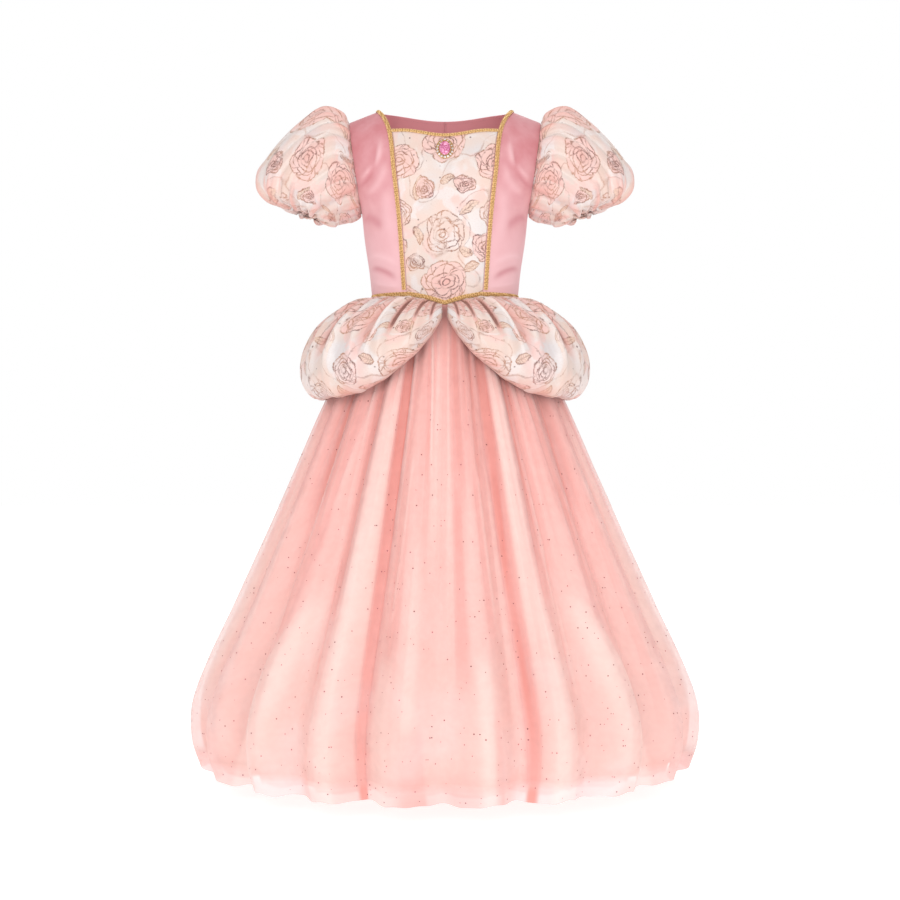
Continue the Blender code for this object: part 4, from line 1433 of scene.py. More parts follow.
# Degrees round the sleeve from its outer side, forwards first: see Fold for the columns
SLEEVE_FOLDS = (
    (56, 50, 0, 0.24, 3, 2, 1.3, 1),
    (70, 66, 0, 0.34, 2.6, 4.5, 0.8, -1),
    (84, 88, 0, 0.3, 2.4, 5, -0.6, 0),
    (94, 102, 0, 0.36, 2.4, 4, 0.7, 0),
    (40, 26, 0, 0.42, 2.6, 5, 0.7, 1),
    (30, 14, 0, 0.36, 2.4, 5, -0.6, 0),
    (18, 6, 0, 0.4, 2.4, 4.6, 0.8, 0),
    (-2, -4, 0, 0.34, 2.4, 5, -0.5, 0),
    (-16, -14, 0, 0.44, 2.6, 4.6, 0.8, 0),
    (-36, -26, 0, 0.38, 2.4, 4.4, 0.6, 0),
    (-54, -44, 0, 0.46, 2.6, 5, 0.8, 0),
    (-76, -68, 0, 0.4, 2.6, 4.6, 0.7, 0),
    (-96, -98, 0, 0.42, 2.6, 4.6, 0.7, 0),
    (118, 126, 0, 0.4, 2.6, 5, 0.8, 0),
    (146, 150, 0, 0.4, 2.8, 5, 0.7, 0),
    (-124, -130, 0, 0.42, 2.8, 5, 0.8, 0),
    (-152, -156, 0, 0.42, 2.8, 5, 0.7, 0),
    (180, 178, 0, 0.4, 2.6, 4, 0.6, 0),
    (84, 100, 0.56, 0.98, 2.4, 2.6, 1.3, 2),
    (106, 112, 0.56, 0.98, 5, 2.6, -0.7, 0),
    (122, 124, 0.52, 0.98, 4, 3, 1.1, -1),
    (66, 78, 0.6, 0.98, 5, 2.6, -0.6, 0),
    (44, 56, 0.56, 0.98, 4.6, 3, 1.2, 1),
    (30, 36, 0.62, 0.98, 5, 2.6, -0.6, 0),
    (10, 16, 0.58, 0.98, 4.6, 3, 1, 0),
    (-12, -8, 0.62, 0.98, 5, 3, -0.5, 0),
    (-30, -26, 0.56, 0.98, 4.6, 3, 1, 0),
    (-66, -58, 0.56, 0.98, 4.6, 3, 1.1, 0),
    (-100, -92, 0.54, 0.98, 4.6, 3, 1, 0),
    (-132, -128, 0.56, 0.98, 4.6, 3, 1, 0),
    (152, 154, 0.56, 0.98, 4.6, 3, 1, 0),
    (178, 180, 0.58, 0.98, 4.6, 3, 0.9, 0),
    (60, 96, 0.34, 0.52, 3, 6, 0.4, 1),
    (128, 112, 0.4, 0.62, 3, 5, 0.4, -1),
)


@dataclass
class PuffSleeves:
    """The two puff sleeves, gathered at the head and on elastic at the cuff."""

    wall: float = 0.0012
    cloth: float = 0.0007
    gathers: int = 20
    columns: int = 240
    rows: int = 80
    fold_tint: float = 0.52
    fold_height: float = 0.0068
    head_tuck: float = 0.0022
    fine_height: float = 0.0011
    frill: tuple[tuple[float, float, float], ...] = (
        (0.0010, 0.0012, 0.0006), (0.0032, 0.0004, 0.0016), (0.0056, -0.0004, 0.0026),
        (0.0074, 0.0006, 0.0032),
    )
    rings: tuple[tuple[float, ...], ...] = (
        (0.1215, -0.1480, 0.1450, -0.0030, 0.0560, 0.0020),
        (0.1290, -0.1520, 0.1700, 0.0035, 0.0640, 0.0028),
        (0.1370, -0.1550, 0.2020, -0.0150, 0.0700, 0.0022),
        (0.1450, -0.1570, 0.2340, -0.0460, 0.0720, 0.0015),
        (0.1520, -0.1580, 0.2560, -0.0780, 0.0690, 0.0018),
        (0.1590, -0.1575, 0.2600, -0.1050, 0.0610, 0.0026),
        (0.1660, -0.1545, 0.2480, -0.1220, 0.0480, 0.0030),
        (0.1735, -0.1500, 0.2270, -0.1310, 0.0300, 0.0020),
    )

    def form(self) -> ClothGrid:
        """The left sleeve, from the armhole to the cuff, with its gathers."""
        turn = 2 * np.pi * np.arange(self.columns) / self.columns + np.pi
        share = (1 + np.cos(turn)) / 2
        x, _ = TORSO.armhole(TORSO.armhole_height * share)
        clear = 0.0021 - 0.0014 * share ** 3
        head = np.stack([x + clear, -TORSO.armhole_half_depth * np.sin(turn),
                         TORSO.underarm + TORSO.armhole_height * share], axis=1)
        lines = [head]
        for inner_x, inner_z, outer_x, outer_z, half_depth, _ in self.rings:
            middle = np.array(((inner_x + outer_x) / 2, 0, (inner_z + outer_z) / 2))
            reach = np.array(((outer_x - inner_x) / 2, 0, (outer_z - inner_z) / 2))
            arm = reach * np.cos(turn)[:, None]
            arm[:, 1] = -half_depth * np.sin(turn)
            lines.append(middle + arm)
        stack = np.array(lines)
        keys = tuple(float(i) for i in range(len(stack)))
        at = np.linspace(0, keys[-1], self.rows)
        flat = stack.reshape(len(stack), -1)
        points = np.stack([Curve(keys, tuple(column)).at(at) for column in flat.T], axis=1)
        points = points.reshape(self.rows, self.columns, 3)
        plain = ClothGrid(points, True, -1, np.zeros(points.shape[:2]))
        sizes = Curve(keys, (0.0, *(ring[5] for ring in self.rings))).at(at)[:, None]
        along = np.linspace(0, 1, self.rows)[:, None]
        random = np.random.default_rng(SEED)
        uneven = 1 + 0.45 * np.interp(turn, np.linspace(0, 2 * np.pi, 25),
                                      random.uniform(-1, 1, 25), period=2 * np.pi)
        phase = self.gathers * turn + 0.8 * np.sin(3 * turn + 1.0) + 0.5 * np.sin(7 * turn)
        wave = sizes * 0.6 * ((-np.cos(phase) + 0.28 * np.cos(2 * phase)) * uneven)[None]
        ends = np.exp(-along * 9) + np.exp(-(1 - along) * 7)
        fine = self.fine_height * ends * np.cos(2.6 * phase + 0.7)[None]
        # The fold table dents the sleeve and, with the gathers, makes the fold value that the brocade
        # paints as shade and highlight.
        tones = self.fold_tint * fold_tones(np.degrees(turn)[None], along, SLEEVE_FOLDS,
                                            360 / self.columns, 360.0)
        lift = (wave + fine - self.fold_height * tones) * smoothstep(along * 14)
        made = ClothGrid(points + plain.normals() * (self.wall + lift)[..., None], True, -1,
                         tones - (wave + fine) / 0.0035)
        return self.finished(made, phase)

    def finished(self, made: ClothGrid, phase: Array) -> ClothGrid:
        """Tucks the head into the armhole seam and adds the small frill below the elastic.

        Args:
            made: The sleeve from its head to its cuff.
            phase: How the gathers run round it.

        Returns:
            The whole sleeve.
        """
        head = made.points[0] - (self.head_tuck, 0, 0)
        middle = head.mean(axis=0)
        head = middle + (head - middle) * 0.985
        cuff = made.points[-1]
        centre = cuff.mean(axis=0)
        away = unit(cuff - centre)
        down = unit(centre - made.points[-4].mean(axis=0))
        rows = [head[None], made.points]
        folds = [made.fold[:1], made.fold]
        wave = np.cos(1.5 * phase + 0.6) + 0.35 * np.cos(2.5 * phase)
        for drop, inwards, swing in self.frill:
            rows.append((cuff + down * drop + away * (swing * wave - inwards)[:, None])[None])
            # The frill's fold value: painted shade, strongest next to the elastic and in the frill's
            # hollows.
            folds.append((0.6 - 0.4 * drop / self.frill[-1][0] - 0.35 * wave)[None])
        return ClothGrid(np.concatenate(rows), True, -1, np.concatenate(folds))

    def build(self) -> None:
        """Builds both sleeves and the elastic's stitches."""
        form = self.form()
        sewing = Parts.empty()
        for side, word in SIDES:
            grid = form if side > 0 else form.mirrored()
            piece = grid.build(f"puff_sleeve_{word}", BROCADE, self.cloth)
            dress(piece, BROCADE, f"sleeve_{word}")
            Stitches(length=0.0016).sew(sewing, *grid.ring(-6))
        dress(sewing.build("cuff_stitching", IVORY_THREAD), IVORY_THREAD)
        LOG.info("sleeves: two puffs, gathered at head and cuff")


SKIRT_KEYS = (-0.908, -0.870, -0.820, -0.760, -0.687, -0.587, -0.489, -0.403, -0.350, -0.300, -0.2646)
SKIRT_FOLDS = (
    (0, 0.75), (17, 1.15), (34, 0.85), (52, 1.00), (71, 0.90), (90, 0.80), (109, 1.05),
    (127, 0.85), (145, 1.10), (162, 0.90), (180, 0.80), (198, 1.10), (216, 0.85), (234, 1.05),
    (252, 0.90), (270, 0.80), (289, 0.95), (308, 1.05), (325, 0.85), (342, 1.20), (360, 0.75),
)
# Degrees from centre front to the wearer's left, shares from waist to hem: see Fold
SKIRT_STREAKS = (
    (-19.5, -18.7, 0.02, 1, 2.5, 0.8, 1, 2),
    (19.2, 19.8, 0.02, 1, 2.5, 0.9, 1, 1),
    (10.4, 7.3, 0.02, 0.46, 7.5, 4.6, 0.35, -1),
    (3.9, 4.2, 0.36, 0.84, 0.9, 1.8, 0.5, -1),
    (-6.4, -4.7, 0.05, 0.42, 0.7, 0.5, -0.9, 2),
    (-8, -6, 0.05, 0.42, 0.8, 0.5, 0.4, 0),
    (-1.7, -1, 0.05, 0.6, 4.2, 2.6, -0.35, 1),
    (-12.3, -12.4, 0.34, 0.8, 0.7, 1.4, 0.4, 2),
    (-11.8, -13.9, 0.32, 0.7, 0.5, 0.4, -0.6, 0),
    (10.9, 12.3, 0.34, 0.76, 1, 1.3, 0.4, -1),
    (11.7, 13.6, 0.32, 0.7, 0.5, 0.4, -0.5, 0),
    (-34, -29.8, 0.1, 0.76, 2.7, 1.6, 0.75, 1),
    (-26, -23, 0.1, 0.84, 4.1, 3.3, -0.5, 1),
    (-36.4, -40.6, 0.15, 0.48, 0.9, 0.7, -0.5, 0),
    (-41.1, -42.3, 0.15, 0.5, 1.8, 1.8, 0.5, 0),
    (-54.9, -54.1, 0.15, 0.5, 3.2, 2.4, 0.6, 1),
    (26.6, 20.2, 0.1, 0.8, 4.1, 3, -0.45, -1),
    (32.6, 27.3, 0.1, 0.7, 2.2, 1.5, 0.7, -1),
    (42.4, 44.3, 0.15, 0.54, 1.9, 1.8, 0.6, -1),
    (56, 54, 0.15, 0.5, 2.8, 2.2, 0.55, -1),
    (-42, -47, 0.42, 0.78, 2, 2.6, 0.65, 0),
    (-36, -51, 0.58, 1, 2, 6.2, -0.55, -1),
    (-34, -29.6, 0.5, 0.84, 0.7, 0.7, 0.5, 0),
    (46, 45.4, 0.42, 0.76, 2.2, 2.6, 0.6, 0),
    (36.4, 50, 0.58, 1, 2, 6, -0.55, 1),
    (33, 29.5, 0.5, 0.84, 0.7, 0.7, 0.5, 0),
    (25.2, 26.2, 0.55, 1, 1, 3.1, -0.4, 2),
    (-25.6, -27, 0.6, 1, 1, 3, -0.35, 2),
    (-6.9, -6.7, 0.84, 1, 2.2, 3, 0.4, 1),
    (10.6, 12.2, 0.8, 1, 0.6, 1.1, 0.4, 1),
    (-13.9, -14.9, 0.7, 1, 1.6, 2.6, -0.5, 0),
    (8.7, 10.2, 0.7, 1, 1.6, 2.1, -0.45, 0),
    (-66, -64, 0.12, 0.96, 2.6, 1.4, 0.7, -1),
    (66, 65, 0.12, 0.94, 2.6, 1.4, 0.7, 1),
    (78, 76, 0.2, 0.9, 3.4, 3, -0.45, -1),
    (-77, -78, 0.2, 0.9, 3.4, 3, -0.45, 1),
    (90, 93, 0.1, 1, 2.4, 1.4, 0.85, 1),
    (-91, -89, 0.1, 1, 2.4, 1.4, 0.85, -1),
    (103, 100, 0.3, 1, 2, 4.6, -0.45, 1),
    (-102, -104, 0.3, 1, 2, 4.6, -0.45, -1),
    (114, 116, 0.08, 0.98, 2.4, 1.2, 0.85, 2),
    (128, 124, 0.15, 0.8, 3.6, 3, -0.45, 1),
    (137, 138, 0.08, 0.7, 2, 1.4, 0.65, -1),
    (151, 152, 0.06, 1, 2.6, 1.2, 0.95, 1),
    (163, 159, 0.1, 0.74, 4, 3, -0.4, 1),
    (172, 174, 0.06, 0.66, 1.4, 1.2, 0.55, 2),
    (184, 186, 0.06, 1, 2.2, 1.1, 0.9, -1),
    (196, 199, 0.1, 0.8, 3.8, 3, -0.45, -1),
    (207, 205, 0.06, 0.72, 1.8, 1.2, 0.6, 0),
    (220, 222, 0.08, 1, 2.4, 1.3, 0.9, 1),
    (234, 231, 0.2, 1, 2.4, 4.8, -0.45, -1),
    (247, 248, 0.1, 0.8, 2.2, 1.4, 0.75, -1),
)


@dataclass
class Skirt:
    """The satin skirt and the tulle overskirt, which share their large folds."""

    top: float = -0.2646
    hem: float = -0.908
    satin_hem: float = -0.898
    satin_wall: float = 0.0010
    tulle_out: float = 0.0022
    tulle_wall: float = 0.0008
    waist_fade: float = 0.130
    waist_centre_y: float = -0.0020
    sharpness: float = 1.1
    streak_depth: float = 0.0026
    hem_swing: float = 0.0012
    satin_columns: int = 720
    satin_rows: int = 90
    tulle_columns: int = 960
    tulle_rows: int = 100
    fine_gathers: int = 150
    hem_width: float = 2.15
    flakes: int = 2000
    flake_radius: float = 0.00078
    half_width: Curve = Curve(SKIRT_KEYS, (0.336, 0.348, 0.3475, 0.326, 0.291, 0.245, 0.202,
                                           0.164, 0.135, 0.111, 0.1))
    half_depth: Curve = Curve(SKIRT_KEYS, (0.33, 0.341, 0.34, 0.318, 0.282, 0.234, 0.189,
                                           0.147, 0.115, 0.09, 0.077))
    fold: Curve = Curve(SKIRT_KEYS, (0.026, 0.028, 0.028, 0.027, 0.024, 0.02, 0.015, 0.01,
                                     0.006, 0.003, 0.0))
    gather: Curve = Curve(SKIRT_KEYS, (0.0, 0.0, 0.0, 0.0, 0.0, 0.0, 0.0, 0.0008, 0.0014, 0.0014,
                                       0.0))
    fullness: Curve = Curve(SKIRT_KEYS, (2.0, 2.0, 2.0, 2.0, 2.0, 2.0, 2.0, 2.0, 2.1, 2.25, 2.4))
    inset: Curve = Curve((-0.898, -0.82, -0.587, -0.403, -0.3, -0.2646),
                         (0.013, 0.011, 0.0065, 0.0035, 0.001, 0.0))

    def ring(self, z: Array, angle: Array, dent: Array | float,
             out: Array | float) -> Array:
        """Points of the skirt.

        Args:
            z: Their heights.
            angle: Their turns from centre front to the wearer's left.
            dent: How far each lies inside the full ring.
            out: How far the ring lies outside the skirt's own form.

        Returns:
            The points.
        """
        shape = np.broadcast(z, angle).shape
        z, angle = np.broadcast_to(z, shape), np.broadcast_to(angle, shape)
        fullness = self.fullness.at(z)
        x = (self.half_width.at(z) + out - dent) * signed_power(np.sin(angle), 2 / fullness)
        y = -(self.half_depth.at(z) + out - dent) * signed_power(np.cos(angle), 2 / fullness)
        fade = np.clip(1 - (TORSO.waist - z) / self.waist_fade, 0.0, None)
        y = y + self.waist_centre_y * fade
        dip = np.where(np.cos(angle) > 0, TORSO.waist_point(x) * fade, 0.0)
        return np.stack([x, y, z - dip], axis=-1)

    def large_folds(self, z: Array, angle: Array) -> tuple[Array, Array]:
        """The dents of the large folds.

        Args:
            z: The heights, as a column.
            angle: The turns, as a row.

        Returns:
            How deep each point is dented, and that as a share of the deepest.
        """
        degrees = np.degrees(angle) % 360
        troughs = np.array([trough for trough, _ in SKIRT_FOLDS], float)
        depths = np.array([depth for _, depth in SKIRT_FOLDS])
        place = np.clip(np.searchsorted(troughs, degrees, side="right") - 1, 0, len(troughs) - 2)
        share = (degrees - troughs[place]) / (troughs[place + 1] - troughs[place])
        depth = depths[place] + (depths[place + 1] - depths[place]) * share
        bowl = ((1 + np.cos(2 * np.pi * share)) / 2) ** self.sharpness
        wave = self.gather.at(z) * np.cos(4 * np.pi * share)
        return self.fold.at(z) * depth * bowl - wave, bowl * depth

    def fine(self, seed: int, count: int) -> tuple[tuple[float, ...], ...]:
        """Small pleats and streaks that leave the waist and fade on the way down.

        Args:
            seed: What makes them differ between the layers.
            count: How many there are.

        Returns:
            Their values, as Fold has them.
        """
        random = np.random.default_rng(seed)
        made = []
        for number in range(count):
            first = 360 * (number + random.uniform(-0.4, 0.4)) / count
            start = random.choice((0.0, 0.0, random.uniform(0.1, 0.5)))
            end = min(start + random.uniform(0.25, 0.8), 0.96)
            tone = random.uniform(0.16, 0.50) * (-1 if number % 2 else 1)
            made.append((first, first + random.uniform(-2.4, 2.4), start, end,
                         random.uniform(0.75, 1.4), random.uniform(0.70, 1.3), tone,
                         int(random.integers(-1, 3))))
        return tuple(made)

    def layer(self, z: Array, columns: int, out: Array, seed: int,
              pleats: float) -> ClothGrid:
        """One layer of the skirt with all its folds.

        Args:
            z: The heights of its rows.
            columns: How many points go round it.
            out: How far each row lies outside the skirt's own form.
            seed: What its fine pleats are drawn from.
            pleats: How strong its fine pleats are.

        Returns:
            The grid.
        """
        angle = (2 * np.pi * np.arange(columns) / columns + np.pi)[None]
        rows = z[:, None]
        dent, bowl = self.large_folds(rows, angle)
        along = (self.top - rows) / (self.top - self.hem)
        degrees = np.degrees(angle) % 360
        step = 360 / columns
        tones = fold_tones(degrees, along, SKIRT_STREAKS, step, 360.0)
        fine = self.fine(seed, self.fine_gathers)
        tones = tones + pleats * fold_tones(degrees, along, fine, step, 360.0)
        deep = self.streak_depth * smoothstep(along * 6) * tones
        points = self.ring(rows, angle, dent + deep, out[:, None])
        swing = np.cos(angle * 23 + 1.0) + 0.8 * np.cos(angle * 41) + 0.6 * np.cos(angle * 67)
        points[..., 2] += self.hem_swing * swing * smoothstep(along * 4 - 3)
        # The fold value, which the materials paint as shade and highlight: the streaks and pleats,
        # the large folds' troughs a little darker, darker near the waist, paler lower down and back
        # to plain at the hem.
        strength = smoothstep((self.top - rows) / 0.16)
        fade = 0.26 * np.exp(-along * 3.2) - 0.46 * smoothstep(along * 1.25)
        fade = fade + 0.46 * smoothstep(along * 60 - 57.6)
        return ClothGrid(points, True, -1, tones + (bowl - 0.5) * 0.10 * strength + fade)

    def build(self) -> None:
        """Builds both layers, the satin's hem stitches and the flakes of glitter."""
        z = np.linspace(self.top, self.satin_hem, self.satin_rows)
        out = self.satin_wall - self.inset.at(z)
        satin = self.layer(z, self.satin_columns, out, SEED + 1, 0.5)
        tuck = satin.points[:1] * (0.982, 0.978, 1) + (0, 0, 0.0016)
        satin = ClothGrid(np.concatenate([tuck, satin.points]), True, -1,
                          np.concatenate([satin.fold[:1], satin.fold]))
        piece = satin.build("peach_satin_skirt", SATIN, 0.0,
                            satin.gathered_flat(self.hem_width))
        dress(piece, SATIN, *SATIN_NODES)
        z = np.linspace(self.top, self.hem, self.tulle_rows)
        out = np.full(z.shape, self.tulle_out + self.tulle_wall)
        tulle = self.layer(z, self.tulle_columns, out, SEED + 2, 1.0)
        piece = tulle.build("pink_tulle_overskirt", TULLE, 0.0,
                            tulle.gathered_flat(self.hem_width))
        dress(piece, TULLE, "tulle_overskirt")
        sewing = Parts.empty()
        Stitches(length=0.0030, gap=0.0016).sew(sewing, *satin.ring(-4))
        dress(sewing.build("hem_stitching", PEACH_THREAD), PEACH_THREAD)
        self.sprinkle(tulle)
        LOG.info("skirt: satin, tulle and %d flakes of glitter", self.flakes)

    def sprinkle(self, tulle: ClothGrid) -> None:
        """Sets flakes of glitter on the tulle, thinly and unevenly."""
        random = np.random.default_rng(SEED + 3)
        rows, columns = tulle.points.shape[:2]
        normals = tulle.normals()
        turn = 2 * np.pi * np.arange(6) / 6
        parts = Parts.empty()
        for _ in range(self.flakes):
            row = int((rows - 1) * math.sqrt(random.uniform(0.03, 0.99)))
            column = int(random.integers(columns))
            seat = tulle.points[row, column] + normals[row, column] * 0.0002
            side = unit(np.cross(normals[row, column], (0, 0, 1.0)))
            up = np.cross(side, normals[row, column])
            radius = self.flake_radius * random.uniform(0.6, 1.35)
            ring = np.cos(turn)[:, None] * side + np.sin(turn)[:, None] * up
            parts.add(seat + ring * radius, [list(range(6))[::-1]], np.zeros((6, 2)))
        dress(parts.build("glitter_flakes", GLITTER, smooth=False), GLITTER)


# Degrees from centre front round to centre back, shares from the waist down: see Fold
SWAG_FOLDS = (
    (4, 5.8, 0, 0.6, 1.16, 0.6, 1.49, 2),
    (6.4, 9, 0, 0.46, 0.72, 0.48, 0.92, 0),
    (8.4, 13.8, 0, 0.56, 1.3, 0.84, 1.6, 1),
    (12.2, 18, 0, 0.44, 0.87, 0.6, 0.8, 0),
    (15.6, 24, 0, 0.56, 1.59, 0.96, 1.6, -1),
    (19.8, 35.5, 0.06, 0.66, 1.2, 1.7, -0.8, -1),
    (23.6, 37.5, 0, 0.64, 1.6, 3.8, 0.85, -1),
    (23, 27.5, 0, 0.36, 1.3, 0.5, 0.8, 2),
    (30, 36, 0, 0.34, 0.87, 0.6, 0.8, 0),
    (36, 39, 0, 0.44, 1.45, 0.84, 1.15, 1),
    (42, 52, 0.05, 0.7, 1.6, 3.6, -0.6, 0),
    (46, 48, 0, 0.4, 1.45, 0.84, 1.03, 0),
    (54, 60, 0, 0.6, 1.89, 3.36, 1.26, -1),
    (62, 65, 0, 0.36, 1.16, 0.72, 0.92, 0),
    (68, 72, 0.05, 0.66, 1.4, 3.2, -0.6, 0),
    (73, 80, 0, 0.58, 1.74, 3.12, 1.26, 1),
    (82, 84, 0, 0.38, 1.3, 0.72, 0.92, 0),
    (92, 94, 0, 0.62, 1.89, 3.12, 1.26, 0),
    (101, 103, 0.05, 0.64, 1.4, 3, -0.6, 0),
    (107, 112, 0, 0.44, 1.45, 0.96, 1.03, 0),
    (116, 123, 0, 0.62, 1.89, 3.36, 1.38, 1),
    (127, 130, 0, 0.4, 1.3, 0.84, 0.92, 0),
    (136, 141, 0, 0.56, 1.74, 2.64, 1.26, -1),
    (143, 150, 0.05, 0.62, 1.2, 2.4, -0.6, 0),
    (148, 151, 0, 0.42, 1.3, 0.84, 1.03, 0),
    (158, 161, 0, 0.54, 1.45, 1.44, 1.26, 2),
    (165, 166.5, 0, 0.44, 1.01, 0.6, 0.92, 0),
    (172.5, 173, 0, 0.54, 1.16, 0.72, 1.38, 2),
    (30, 46, 0.55, 1, 3, 6, 0.35, 0),
    (58, 72, 0.6, 1, 4, 7, -0.3, 0),
    (84, 96, 0.55, 1, 4, 7, 0.35, 0),
    (112, 126, 0.6, 1, 4, 7, -0.3, 0),
    (140, 150, 0.58, 1, 3, 6, 0.35, 0),
)


@dataclass
class HipSwags:
    """The puffed swag over each hip, gathered at the waist and rolled under below."""

    wall: float = 0.0012
    cloth: float = 0.0007
    drop: float = 0.143
    reach: float = 0.0895
    least_reach: float = 0.006
    out: float = 0.0037
    top: float = -0.2657
    full_deg: float = 50.0
    edge_power: float = 0.55
    start_deg: float = 1.2
    gathers: int = 14
    columns: int = 340
    rows: int = 92
    fold_height: float = 0.0040
    fine_height: float = 0.0010
    hang: float = 0.96
    edge_drop_power: float = 1.15
    profile: tuple[tuple[float, float, float], ...] = (
        (0.0, 0.0, 0.0),
        (0.17, 0.012, 0.0012),
        (0.42, 0.09, 0.0035),
        (0.75, 0.28, 0.0055),
        (0.94, 0.51, 0.005),
        (1.0, 0.73, 0.0035),
        (0.95, 0.88, 0.0025),
        (0.84, 0.97, 0.002),
        (0.72, 0.985, 0.001),
    )

    def form(self, skirt: Skirt) -> ClothGrid:
        """The left swag, from centre front round to centre back.

        Args:
            skirt: The skirt whose waist it hangs from.

        Returns:
            The grid.
        """
        share = np.linspace(0, 1, self.columns)[None]
        degrees = self.start_deg + (180 - 2 * self.start_deg) * share
        angle = np.radians(degrees)
        turn = np.minimum(degrees, 180 - degrees) / self.full_deg
        size = np.sin(np.minimum(turn, 1.0) * np.pi / 2) ** self.edge_power
        keys = tuple(float(i) for i in range(len(self.profile)))
        at = np.linspace(0, keys[-1], self.rows)
        reach, drop, wave = (Curve(keys, column).at(at)[:, None] for column in zip(*self.profile))
        start = skirt.ring(np.array([[self.top]]), angle, 0.0, self.out)
        out = np.stack([np.sin(angle), -np.cos(angle), np.zeros(angle.shape)], axis=-1)
        far = (self.least_reach + self.reach * size) * reach
        down = self.drop * self.hang * size ** self.edge_drop_power * drop
        plain = start + out * far[..., None] - np.stack([0 * down, 0 * down, down], axis=-1)
        grid = ClothGrid(plain, False, -1, np.zeros(plain.shape[:2]))
        along = np.linspace(0, 1, self.rows)[:, None]
        wander = 0.9 * np.sin(degrees / 17.0) + 0.6 * np.sin(degrees / 6.1)
        phase = 2 * np.pi * self.gathers * share + wander * 0.6
        ripple = np.cos(phase) + 0.3 * np.cos(2 * phase + 0.4)
        main = wave * size * 0.6 * ripple
        fade = np.exp(-((along - 0.16) / 0.20) ** 2)
        fine = self.fine_height * size * fade * np.cos(3 * phase + 1.1)
        tones = fold_tones(degrees, along, SWAG_FOLDS, 180 / self.columns)
        lift = (main + fine - self.fold_height * size * tones) * smoothstep(along * 12)
        points = plain + grid.normals() * (self.wall + lift)[..., None]
        # The fold value, which the brocade paints as shade and highlight: the fold table, the
        # gathers, painted shade at the gathered waist and on the rolled-under lower part.
        rolled = 0.35 * smoothstep((along - 0.70) / 0.16)
        fold = tones - main / 0.012 + 0.8 * np.exp(-along * 14) + rolled
        return ClothGrid(points, False, -1, fold)

    def build(self, skirt: Skirt) -> None:
        """Builds both swags.

        Args:
            skirt: The skirt whose waist they hang from.
        """
        form = self.form(skirt)
        for side, word in SIDES:
            grid = form if side > 0 else form.mirrored()
            piece = grid.build(f"rose_hip_swag_{word}", BROCADE, self.cloth)
            dress(piece, BROCADE, f"hip_swag_{word}")
        LOG.info("swags: one over each hip")


def deselect() -> None:
    """Leaves nothing selected, since operators act on all that is."""
    for thing in bpy.context.selected_objects:
        thing.select_set(False)


def pick(thing: Piece, chosen: object) -> None:
    """Selects in edit mode the corners that a rule names.

    Args:
        thing: The object in edit mode.
        chosen: A function from a corner's place to whether it is selected.
    """
    bpy.ops.object.mode_set(mode="OBJECT")
    for vertex in thing.data.vertices:
        vertex.select = bool(chosen(vertex.co))
    for face in thing.data.polygons:
        face.select = all(thing.data.vertices[v].select for v in face.vertices)
    for edge in thing.data.edges:
        edge.select = all(thing.data.vertices[v].select for v in edge.vertices)
    bpy.ops.object.mode_set(mode="EDIT")


